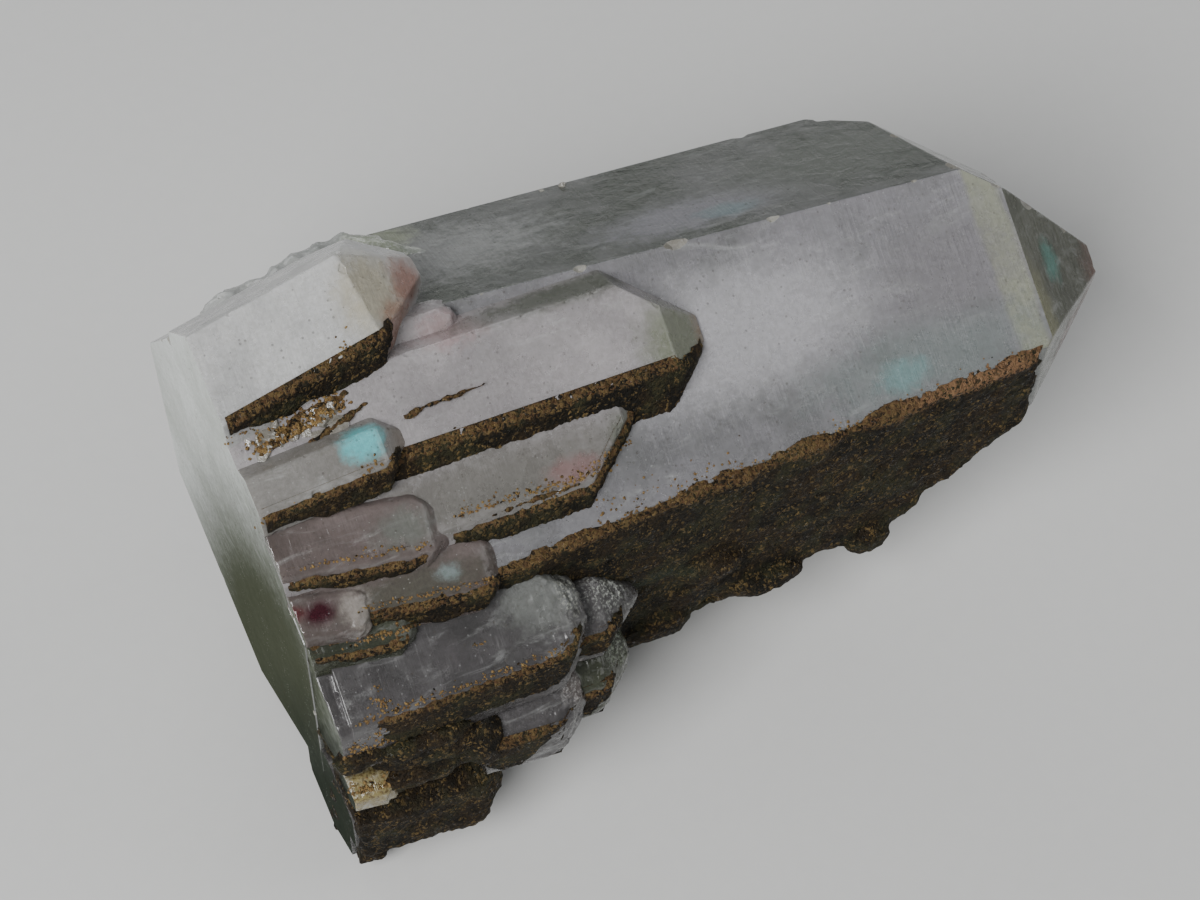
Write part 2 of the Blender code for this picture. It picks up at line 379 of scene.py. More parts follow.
def push_skin(target: bpy.types.Object, move: Callable[[Vector, Vector], float]) -> None:
    """Move every vertex of an object along its own normal.

    Args:
        target: the object.
        move: gives the distance for a vertex's place and normal.
    """
    with editing(target) as shape:
        shape.normal_update()
        steps = [vert.normal * move(vert.co, vert.normal) for vert in shape.verts]
        for vert, step in zip(shape.verts, steps):
            vert.co += step


def drop_crumbs(target: bpy.types.Object, smallest: int) -> None:
    """Delete loose bodies with fewer vertices than a limit.

    Args:
        target: the object.
        smallest: the fewest vertices that a body keeps.
    """
    with editing(target) as shape:
        waiting = set(shape.verts)
        crumbs = []
        while waiting:
            body = [waiting.pop()]
            for vert in body:
                for edge in vert.link_edges:
                    other = edge.other_vert(vert)
                    if other in waiting:
                        waiting.discard(other)
                        body.append(other)
            if len(body) < smallest:
                crumbs += body
        bmesh.ops.delete(shape, geom=crumbs, context="VERTS")


def uneven(point: Vector, layers: tuple) -> float:
    """Add up layers of smooth noise.

    Args:
        point: where it is read.
        layers: pairs of a layer's size and height.

    Returns:
        Their sum.
    """
    return sum(height * noise.noise(point / size) for size, height in layers)


def taken_mesh(target: bpy.types.Object) -> bmesh.types.BMesh:
    """Take an object's mesh out of it and remove the object.

    Args:
        target: the object.

    Returns:
        Its mesh.
    """
    shape = bmesh.new()
    shape.from_mesh(target.data)
    bpy.data.objects.remove(target)
    return shape


def store_rim(target: bpy.types.Object, rim: Callable[[Vector], float]) -> None:
    """Keep a value from 0 to 1 on each vertex, which the crust's finish reads as its rusty rim.

    Args:
        target: the object.
        rim: gives the value for a vertex's place.
    """
    values = [rim(vert.co) for vert in target.data.vertices]
    attribute = target.data.attributes.new(RIM_ATTRIBUTE, "FLOAT", "POINT")
    attribute.data.foreach_set("value", values)


def lay_down(target: bpy.types.Object) -> None:
    """Move a finished mesh from the crystal's frame to the row frame, inside the frame's box.

    Args:
        target: the object.
    """
    target.data.transform(lie_matrix())
    low, high = CAD_BOX
    for vert in target.data.vertices:
        vert.co = [clamp(value, bottom, top) for value, bottom, top in zip(vert.co, low, high)]
    target.data.update()


class NodeBench:
    """A node tree with short ways to add and join nodes."""

    def __init__(self, tree: bpy.types.NodeTree) -> None:
        """Keep the tree.

        Args:
            tree: the node tree to work on.
        """
        self.tree = tree

    def add(self, kind: str, inputs: dict | None = None, **settings: object) -> bpy.types.Node:
        """Add a node.

        Args:
            kind: its type name.
            inputs: values or sockets for its inputs, by name or number.
            settings: its own properties.

        Returns:
            The node.
        """
        node = self.tree.nodes.new(kind)
        for name, value in settings.items():
            setattr(node, name, value)
        for key, value in (inputs or {}).items():
            self.feed(node.inputs[key], value)
        return node

    def feed(self, socket: bpy.types.NodeSocket, value: object) -> None:
        """Link a socket to another, or set its value.

        Args:
            socket: the input.
            value: an output socket, a number or a tuple.
        """
        if isinstance(value, bpy.types.NodeSocket):
            self.tree.links.new(value, socket)
        else:
            socket.default_value = value

    def noise(self, vector: bpy.types.NodeSocket, scale: float, detail: float = 3.0,
              roughness: float = 0.5, distortion: float = 0.0) -> bpy.types.NodeSocket:
        """Add a noise pattern.

        Args:
            vector: where it is read.
            scale: how many lumps fit in a unit of length.
            detail: how many finer layers it has.
            roughness: how strong the finer layers are.
            distortion: how far it is pushed about.

        Returns:
            The pattern's value.
        """
        settings = {"Scale": scale, "Detail": detail, "Roughness": roughness, "Distortion": distortion}
        node = self.add("ShaderNodeTexNoise", {"Vector": vector, **settings})
        return node.outputs["Fac"]

    def steps(self, value: bpy.types.NodeSocket, low: float, high: float, start: float = 0.0,
              end: float = 1.0) -> bpy.types.NodeSocket:
        """Add a smooth rise from start to end as a value goes from low to high.

        Args:
            value: the value that is followed.
            low: where the rise begins.
            high: where it is over.
            start: the result up to low.
            end: the result from high on.

        Returns:
            The result.
        """
        node = self.add(
            "ShaderNodeMapRange",
            {"Value": value, "From Min": low, "From Max": high, "To Min": start, "To Max": end},
            interpolation_type="SMOOTHSTEP",
        )
        return node.outputs["Result"]

    def sum(self, operation: str, first: object, second: object = 0.0) -> bpy.types.NodeSocket:
        """One piece of arithmetic on two values."""
        node = self.add("ShaderNodeMath", {0: first, 1: second}, operation=operation)
        return node.outputs["Value"]

    def blend(self, mask: object, first: object, second: object, way: str = "MIX") -> bpy.types.NodeSocket:
        """Add a blend of two colours by a mask.

        Args:
            mask: how much of the second colour shows.
            first: the colour where the mask is 0.
            second: the colour where the mask is 1.
            way: the way of blending.

        Returns:
            The blended colour.
        """
        node = self.add("ShaderNodeMix", data_type="RGBA", blend_type=way)
        for number, value in ((0, mask), (6, first), (7, second)):
            self.feed(node.inputs[number], value)
        return node.outputs[2]

    def stretched(self, vector: bpy.types.NodeSocket, scale: tuple) -> bpy.types.NodeSocket:
        """A vector scaled along its three axes."""
        return self.add("ShaderNodeMapping", {"Vector": vector, "Scale": scale}).outputs["Vector"]

    def group(self, tree: bpy.types.NodeTree, inputs: dict) -> bpy.types.Node:
        """A shared node group with its inputs set or fed."""
        return self.add("ShaderNodeGroup", inputs, node_tree=tree)


def new_group(name: str, inputs: dict, outputs: dict) -> tuple:
    """Start a shader node group with named sockets.

    Args:
        name: the group's name.
        inputs: socket type and default value by name.
        outputs: socket type by name.

    Returns:
        The group, a bench to build it on, its input node and its output node.
    """
    tree = bpy.data.node_groups.new(name, "ShaderNodeTree")
    for label, (kind, value) in inputs.items():
        socket = tree.interface.new_socket(name=label, in_out="INPUT", socket_type=kind)
        if value is not None:
            socket.default_value = value
    for label, kind in outputs.items():
        tree.interface.new_socket(name=label, in_out="OUTPUT", socket_type=kind)
    bench = NodeBench(tree)
    return tree, bench, bench.add("NodeGroupInput"), bench.add("NodeGroupOutput")


class Effects:
    """The shader node groups that the finishes share, each built once."""

    def __init__(self) -> None:
        """Build every group."""
        self.clouds = self.build_clouds()
        self.specks = self.build_specks()
        self.patch = self.build_patch()
        self.growth_lines = self.build_growth_lines()
        self.grains = self.build_grains()

    def build_clouds(self) -> bpy.types.NodeTree:
        """Milky clouds and thin veils inside the quartz.

        Returns:
            The node group.
        """
        tree, bench, given, out = new_group(
            "milky_clouds",
            {"Vector": ("NodeSocketVector", None)},
            {"Cloud": "NodeSocketFloat", "Veil": "NodeSocketFloat", "Mottle": "NodeSocketColor"},
        )
        place = given.outputs["Vector"]
        broad = bench.noise(place, scale=0.045, detail=4.0, roughness=0.55, distortion=0.6)
        soft = bench.noise(place, scale=0.16, detail=5.0, roughness=0.6, distortion=0.3)
        mixed = bench.sum("ADD", bench.sum("MULTIPLY", broad, 0.62), bench.sum("MULTIPLY", soft, 0.38))
        bench.feed(out.inputs["Cloud"], bench.steps(mixed, 0.36, 0.64))
        slanting = bench.stretched(place, (0.07, 0.26, 0.26))
        wisps = bench.noise(slanting, scale=1.0, detail=7.0, roughness=0.7, distortion=1.8)
        bench.feed(out.inputs["Veil"], bench.steps(wisps, 0.52, 0.70))
        dust = bench.noise(place, scale=1.7, detail=6.0, roughness=0.75, distortion=0.3)
        dusty = bench.steps(dust, 0.32, 0.68)
        bench.feed(out.inputs["Mottle"], bench.blend(dusty, (0.87, 0.87, 0.86, 1.0), (1.10, 1.10, 1.11, 1.0)))
        return tree

    def build_specks(self) -> bpy.types.NodeTree:
        """Fine scattered specks.

        Returns:
            The node group.
        """
        tree, bench, given, out = new_group(
            "fine_specks",
            {
                "Vector": ("NodeSocketVector", None),
                "Per Millimetre": ("NodeSocketFloat", 1.0),
                "Reach": ("NodeSocketFloat", 0.2),
                "Share": ("NodeSocketFloat", 0.3),
            },
            {"Speck": "NodeSocketFloat"},
        )
        cells = bench.add("ShaderNodeTexVoronoi", {"Vector": given.outputs["Vector"], "Randomness": 1.0})
        bench.feed(cells.inputs["Scale"], given.outputs["Per Millimetre"])
        inside = bench.sum("LESS_THAN", cells.outputs["Distance"], given.outputs["Reach"])
        parts = bench.add("ShaderNodeSeparateColor", {"Color": cells.outputs["Color"]})
        chosen = bench.sum("LESS_THAN", parts.outputs["Red"], given.outputs["Share"])
        bench.feed(out.inputs["Speck"], bench.sum("MULTIPLY", inside, chosen))
        return tree

    def build_patch(self) -> bpy.types.NodeTree:
        """A soft uneven patch about a point.

        Returns:
            The node group.
        """
        tree, bench, given, out = new_group(
            "soft_patch",
            {
                "Vector": ("NodeSocketVector", None),
                "Middle": ("NodeSocketVector", (0.0, 0.0, 0.0)),
                "Radii": ("NodeSocketVector", (1.0, 1.0, 1.0)),
                "Ragged": ("NodeSocketFloat", 0.5),
                "Unevenness": ("NodeSocketFloat", 0.35),
            },
            {"Patch": "NodeSocketFloat"},
        )
        off = bench.add("ShaderNodeVectorMath", {0: given.outputs["Vector"], 1: given.outputs["Middle"]},
                        operation="SUBTRACT")
        shrunk = bench.add("ShaderNodeVectorMath", {0: off.outputs["Vector"], 1: given.outputs["Radii"]},
                           operation="DIVIDE")
        far = bench.add("ShaderNodeVectorMath", {0: shrunk.outputs["Vector"]}, operation="LENGTH")
        ragged = bench.sum("SUBTRACT", given.outputs["Ragged"], 0.5)
        pushed = bench.sum("MULTIPLY", ragged, given.outputs["Unevenness"])
        reach = bench.sum("ADD", far.outputs["Value"], bench.sum("MULTIPLY", pushed, 3.0))
        bench.feed(out.inputs["Patch"], bench.steps(reach, 1.25, 0.35))
        return tree

    def build_growth_lines(self) -> bpy.types.NodeTree:
        """Fine steps across a crystal's long axis and low hillocks, as a height.

        Returns:
            The node group.
        """
        tree, bench, given, out = new_group(
            "growth_lines",
            {"Vector": ("NodeSocketVector", None), "Lines": ("NodeSocketFloat", 0.5)},
            {"Height": "NodeSocketFloat"},
        )
        drawn_out = bench.stretched(given.outputs["Vector"], (1.7, 0.05, 0.05))
        lines = bench.noise(drawn_out, scale=1.0, detail=4.0, roughness=0.6)
        hillocks = bench.noise(given.outputs["Vector"], scale=0.35, detail=3.0, roughness=0.5, distortion=0.4)
        dimples = bench.noise(given.outputs["Vector"], scale=2.6, detail=2.0, roughness=0.5)
        height = bench.sum("ADD", bench.sum("MULTIPLY", lines, given.outputs["Lines"]), hillocks)
        height = bench.sum("ADD", height, bench.sum("MULTIPLY", dimples, 0.16))
        bench.feed(out.inputs["Height"], height)
        return tree

    def build_grains(self) -> bpy.types.NodeTree:
        """Sugary grains of the crust: a random tone for each, rare glints and the grains' height.

        Returns:
            The node group.
        """
        tree, bench, given, out = new_group(
            "crust_grains",
            {"Vector": ("NodeSocketVector", None), "Per Millimetre": ("NodeSocketFloat", 2.2)},
            {
                "Tone": "NodeSocketFloat",
                "Hue": "NodeSocketFloat",
                "Spark": "NodeSocketFloat",
                "Height": "NodeSocketFloat",
            },
        )
        warp = bench.add("ShaderNodeTexNoise",
                         {"Vector": given.outputs["Vector"], "Scale": 1.6, "Detail": 2.0})
        shifted = bench.add("ShaderNodeVectorMath", {0: given.outputs["Vector"], 1: warp.outputs["Color"]},
                            operation="ADD")
        cells = bench.add("ShaderNodeTexVoronoi", {"Vector": shifted.outputs["Vector"], "Randomness": 1.0})
        bench.feed(cells.inputs["Scale"], given.outputs["Per Millimetre"])
        parts = bench.add("ShaderNodeSeparateColor", {"Color": cells.outputs["Color"]})
        bench.feed(out.inputs["Tone"], parts.outputs["Red"])
        bench.feed(out.inputs["Hue"], parts.outputs["Blue"])
        bench.feed(out.inputs["Spark"], bench.steps(parts.outputs["Green"], 0.88, 0.96))
        fine = bench.noise(given.outputs["Vector"], scale=4.5, detail=3.0, roughness=0.65)
        round_top = bench.steps(cells.outputs["Distance"], 0.7, 0.0)
        bench.feed(out.inputs["Height"], bench.sum("ADD", round_top, bench.sum("MULTIPLY", fine, 0.7)))
        return tree


def crystal_coordinates(bench: NodeBench) -> bpy.types.NodeSocket:
    """Place on the specimen in the crystal's own millimetre frame.

    Args:
        bench: the material's bench.

    Returns:
        The socket that gives the place.
    """
    seen = bench.add("ShaderNodeTexCoord")
    scale = (METRES_PER_MM, METRES_PER_MM, METRES_PER_MM)
    turned = bench.add(
        "ShaderNodeMapping",
        {
            "Vector": seen.outputs["Object"],
            "Location": LIE_PLACE,
            "Rotation": (LIE_ROLL, LIE_PITCH, 0.0),
            "Scale": scale,
        },
        vector_type="TEXTURE",
    )
    return turned.outputs["Vector"]


def new_material(name: str) -> tuple:
    """Start a material.

    Args:
        name: its name.

    Returns:
        The material, its bench and its Principled shader.
    """
    material = bpy.data.materials.new(name)
    material.use_nodes = True
    return material, NodeBench(material.node_tree), material.node_tree.nodes["Principled BSDF"]


def ragged_noise(bench: NodeBench, place: bpy.types.NodeSocket) -> bpy.types.NodeSocket:
    """The fine pattern that frays the edges of a material's coloured patches.

    Args:
        bench: the material's bench.
        place: the place in the crystal's frame.

    Returns:
        The pattern's value.
    """
    return bench.noise(place, scale=0.6, detail=7.0, roughness=0.72)


@dataclass(frozen=True)
class Tint:
    """A soft coloured patch: its middle and radii in the crystal's frame. Most are colour inside the quartz;
    some are painted highlight or painted shade.

    A glittering patch is broken up into fine flecks.
    """

    middle: tuple
    radii: tuple
    colour: tuple
    strength: float = 0.8
    unevenness: float = 0.35
    glitter: bool = False

    def laid_over(self, colour: bpy.types.NodeSocket, bench: NodeBench, place: bpy.types.NodeSocket,
                  ragged: bpy.types.NodeSocket, effects: Effects) -> bpy.types.NodeSocket:
        """Lay the patch over a colour.

        Args:
            colour: the colour so far.
            bench: the material's bench.
            place: the place in the crystal's frame.
            ragged: the pattern that frays the patch's edge.
            effects: the shared node groups.

        Returns:
            The colour with the patch.
        """
        patch = bench.group(effects.patch, {
            "Vector": place,
            "Middle": self.middle,
            "Radii": self.radii,
            "Ragged": ragged,
            "Unevenness": self.unevenness,
        })
        mask = bench.sum("MULTIPLY", patch.outputs["Patch"], self.strength)
        if self.glitter:
            flecks = bench.noise(place, scale=2.6, detail=3.0, roughness=0.7)
            mask = bench.sum("MULTIPLY", mask, bench.steps(flecks, 0.5, 0.6))
        return bench.blend(mask, colour, (*self.colour, 1.0))


@dataclass(frozen=True)
class Phantom:
    """A band in the pointed end, parallel to a face of the tip, where growth once paused."""

    azimuth: float
    distance: float
    half_width: float
    colour: tuple
    strength: float


@dataclass(frozen=True)
class QuartzFinish:
    """Translucent quartz with clouds, veils, dark specks, light specks of painted glitter and coloured
    patches, some of them painted highlight and shade.
    """

    name: str
    milky: tuple
    smoky: tuple
    veil: tuple = (0.50, 0.51, 0.50)
    veil_strength: float = 0.3
    specks: tuple = (0.07, 0.06, 0.05)
    speck_share: float = 0.16
    roughness: float = 0.27
    lines: float = 0.5
    relief: float = 0.18
    see_through: float = 0.30
    depth: float = 0.35
    inner_colour: tuple = (0.38, 0.45, 0.38)
    absorption: float = 60.0
    shine: float = 0.5
    tints: tuple = ()
    phantoms: tuple = ()

    def material(self, effects: Effects) -> bpy.types.Material:
        """Build the material.

        Args:
            effects: the shared node groups.

        Returns:
            The material.
        """
        material, bench, shader = new_material(self.name)
        place = crystal_coordinates(bench)
        clouds = bench.group(effects.clouds, {"Vector": place})
        colour = bench.blend(clouds.outputs["Cloud"], (*self.smoky, 1.0), (*self.milky, 1.0))
        veil = bench.sum("MULTIPLY", clouds.outputs["Veil"], self.veil_strength)
        colour = bench.blend(veil, colour, (*self.veil, 1.0))
        for phantom in self.phantoms:
            colour = self.add_phantom(bench, place, colour, phantom)
        ragged = ragged_noise(bench, place)
        for tint in self.tints:
            colour = tint.laid_over(colour, bench, place, ragged, effects)
        # The first specks are dark flecks in the quartz; the second, light ones in the veil colour are
        # painted glitter.
        for share, each_mm, tone, strength in (
            (self.speck_share, 1.4, self.specks, 0.45),
            (0.10, 2.3, self.veil, 0.3),
        ):
            spread = {"Vector": place, "Per Millimetre": each_mm, "Reach": 0.22, "Share": share}
            specks = bench.group(effects.specks, spread)
            mask = bench.sum("MULTIPLY", specks.outputs["Speck"], strength)
            colour = bench.blend(mask, colour, (*tone, 1.0))
        colour = bench.blend(1.0, colour, clouds.outputs["Mottle"], "MULTIPLY")
        bench.feed(shader.inputs["Base Color"], colour)

        lines = bench.group(effects.growth_lines, {"Vector": place, "Lines": self.lines})
        bump = bench.add(
            "ShaderNodeBump",
            {"Strength": self.relief, "Distance": METRES_PER_MM, "Height": lines.outputs["Height"]},
        )
        bench.feed(shader.inputs["Normal"], bump.outputs["Normal"])
        patchy = bench.noise(place, scale=0.3, detail=4.0, roughness=0.6)
        rough = bench.steps(patchy, 0.35, 0.68, self.roughness - 0.07, self.roughness + 0.12)
        bench.feed(shader.inputs["Roughness"], rough)
        shader.inputs["Metallic"].default_value = 0.0
        shader.inputs["IOR"].default_value = QUARTZ_IOR
        shader.inputs["Specular IOR Level"].default_value = self.shine
        shader.inputs["Transmission Weight"].default_value = self.see_through
        shader.inputs["Subsurface Weight"].default_value = self.depth
        shader.inputs["Subsurface Radius"].default_value = (1.0, 1.0, 0.9)
        shader.inputs["Subsurface Scale"].default_value = 0.003
        inside = bench.add(
            "ShaderNodeVolumeAbsorption", {"Color": (*self.inner_colour, 1.0), "Density": self.absorption}
        )
        bench.feed(bench.tree.nodes["Material Output"].inputs["Volume"], inside.outputs["Volume"])
        return material

    def add_phantom(self, bench: NodeBench, place: bpy.types.NodeSocket, colour: bpy.types.NodeSocket,
                    phantom: Phantom) -> bpy.types.NodeSocket:
        """Lay one phantom band over a colour.

        Args:
            bench: the material's bench.
            place: the place in the crystal's frame.
            colour: the colour so far.
            phantom: the band.

        Returns:
            The colour with the band.
        """
        normal = tip_plane(phantom.azimuth, phantom.distance).normal
        along = bench.add("ShaderNodeVectorMath", {0: place, 1: normal}, operation="DOT_PRODUCT")
        drift = bench.noise(place, scale=0.25, detail=3.0)
        wander = bench.sum("MULTIPLY", bench.sum("SUBTRACT", drift, 0.5), 1.4)
        off = bench.sum("ADD", bench.sum("SUBTRACT", along.outputs["Value"], phantom.distance), wander)
        near = bench.steps(bench.sum("ABSOLUTE", off), phantom.half_width * 1.25, phantom.half_width * 0.75)
        patchy = bench.steps(bench.noise(place, scale=0.5, detail=4.0, roughness=0.6), 0.25, 0.6, 0.6, 1.0)
        mask = bench.sum("MULTIPLY", bench.sum("MULTIPLY", near, patchy), phantom.strength)
        return bench.blend(mask, colour, (*phantom.colour, 1.0))


@dataclass(frozen=True)
class CrustFinish:
    """Brown iron-stained crust: sugary grains from dark brown to golden, some of them glinting."""

    name: str = "iron_crust"
    dark: tuple = (0.0035, 0.0028, 0.0012)
    brown: tuple = (0.016, 0.010, 0.004)
    olive: tuple = (0.021, 0.021, 0.0085)
    golden: tuple = (0.105, 0.07, 0.026)
    rust: tuple = (0.066, 0.033, 0.0145)
    mossy: Tint = Tint((49.0, -23.0, 12.0), (7.0, 2.4, 3.0), (0.03, 0.05, 0.03), 0.5)
    orange: Tint = Tint((94.0, -11.0, 24.5), (15.0, 3.0, 2.4), (0.21, 0.115, 0.06), 0.7)
    grains_per_mm: float = 3.2

    def material(self, effects: Effects) -> bpy.types.Material:
        """Build the material.

        Args:
            effects: the shared node groups.

        Returns:
            The material.
        """
        material, bench, shader = new_material(self.name)
        place = crystal_coordinates(bench)
        grains = bench.group(effects.grains, {"Vector": place, "Per Millimetre": self.grains_per_mm})
        broad = bench.noise(place, scale=0.16, detail=4.0, roughness=0.6)
        colour = bench.blend(bench.steps(broad, 0.38, 0.62), (*self.dark, 1.0), (*self.brown, 1.0))
        mossy_places = bench.noise(place, scale=0.22, detail=3.0)
        green = bench.sum("MULTIPLY", bench.steps(mossy_places, 0.45, 0.62), 0.75)
        colour = bench.blend(green, colour, (*self.olive, 1.0))
        bright = bench.steps(grains.outputs["Tone"], 0.72, 0.98)
        golden_places = bench.noise(place, scale=0.4, detail=3.0)
        bright = bench.sum("MULTIPLY", bright, bench.steps(golden_places, 0.34, 0.64, 0.2, 1.0))
        colour = bench.blend(bright, colour, (*self.golden, 1.0))
        shade = bench.steps(grains.outputs["Tone"], 0.0, 0.34, 0.8, 0.0)
        colour = bench.blend(shade, colour, (*self.dark, 1.0))
        ragged = ragged_noise(bench, place)
        colour = self.mossy.laid_over(colour, bench, place, ragged, effects)
        rim = bench.add("ShaderNodeAttribute", attribute_name=RIM_ATTRIBUTE)
        uneven_rim = bench.sum("ADD", rim.outputs["Fac"], bench.sum("SUBTRACT", grains.outputs["Hue"], 0.5))
        rusty = bench.sum("MULTIPLY", bench.steps(uneven_rim, 0.5, 1.05), 0.9)
        rust = bench.blend(grains.outputs["Tone"], (*self.rust, 1.0), (*self.golden, 1.0))
        rust = self.orange.laid_over(rust, bench, place, ragged, effects)
        colour = bench.blend(rusty, colour, rust)
        bench.feed(shader.inputs["Base Color"], colour)
        bench.feed(shader.inputs["Roughness"], bench.steps(grains.outputs["Spark"], 0.0, 1.0, 0.75, 0.18))
        bump = bench.add(
            "ShaderNodeBump",
            {"Strength": 0.8, "Distance": 0.2 * METRES_PER_MM, "Height": grains.outputs["Height"]},
        )
        bench.feed(shader.inputs["Normal"], bump.outputs["Normal"])
        shader.inputs["Specular IOR Level"].default_value = 0.2
        return material


class Tone(Enum):
    """The finishes of the quartz, by material slot number. The shaded smoky face, sawn and glassy finishes
    hold painted shade, the bright face's a painted highlight and the broken one painted glints.
    """

    BRIGHT_FACE = 0
    # Partly smoky quartz, partly painted shade, on the dark face, its shoulder and its tip face.
    DARK_FACE = 1
    POINT = 2
    SAWN = 3
    HIDDEN_SIDE = 4
    WHITE = 5
    ROSY = 6
    BLUE = 7
    PURPLE = 8
    GREEN = 9
    GLASSY = 10
    BROKEN = 11
    LIP = 12


def paint(shape: bmesh.types.BMesh, tone: Tone, sawn: CutPlane | None = None) -> None:
    """Give every face of a shape one of the quartz finishes, and its sawn end the sawn one.

    Args:
        shape: the solid.
        tone: the finish.
        sawn: the plane of the sawn end.
    """
    for face in shape.faces:
        at_end = sawn and abs(sawn.height(face.calc_center_median())) < 0.01
        face.material_index = Tone.SAWN.value if at_end else tone.value


class Nicks:
    """Balls that cut small shell-shaped chips out of a crystal's edges, none touching another."""

    def __init__(self, picker: random.Random) -> None:
        """Start with no balls.

        Args:
            picker: the random source.
        """
        self.picker = picker
        self.taken = []
        self.balls = []

    def add(self, place: Vector, outward: Vector, radius: float, depth: float) -> None:
        """Add one ball, unless it would touch another.

        Args:
            place: a point on the crystal's edge.
            outward: the way out of the crystal there.
            radius: the ball's radius.
            depth: how deep it cuts.
        """
        middle = place + outward * (radius - depth)
        if any((middle - other).length < 1.2 * (radius + reach) for other, reach in self.taken):
            return
        self.taken.append((middle, radius))
        stretch = Vector([self.picker.uniform(0.85, 1.15) * radius for _ in range(3)])
        self.balls.append(ball(middle, stretch, 2))

    def along_edges(self, shape: bmesh.types.BMesh, spacing: float, radii: tuple, depth: tuple) -> None:
        """Scatter balls along all edges of a solid.

        Args:
            shape: the solid.
            spacing: length of edge for each chip.
            radii: smallest and largest radius of a ball.
            depth: smallest and largest depth of a chip.
        """
        for edge in shape.edges:
            first, second = (vert.co for vert in edge.verts)
            outward = sum((face.normal for face in edge.link_faces), Vector()).normalized()
            expected = edge.calc_length() / spacing
            for _ in range(int(expected) + (self.picker.random() < expected % 1)):
                place = first.lerp(second, self.picker.random())
                self.add(place, outward, self.picker.uniform(*radii), self.picker.uniform(*depth))

    def cut_from(self, target: bpy.types.Object, materials: tuple) -> None:
        """Cut every ball out of an object.

        Args:
            target: the object.
            materials: the quartz finishes.
        """
        if self.balls:
            chips = gathered(self.balls)
            # The chips' faces get the whitish broken finish, which holds painted glints as well.
            paint(chips, Tone.BROKEN)
            combine(target, as_object("nicks", chips, materials), Joining.DIFFERENCE)


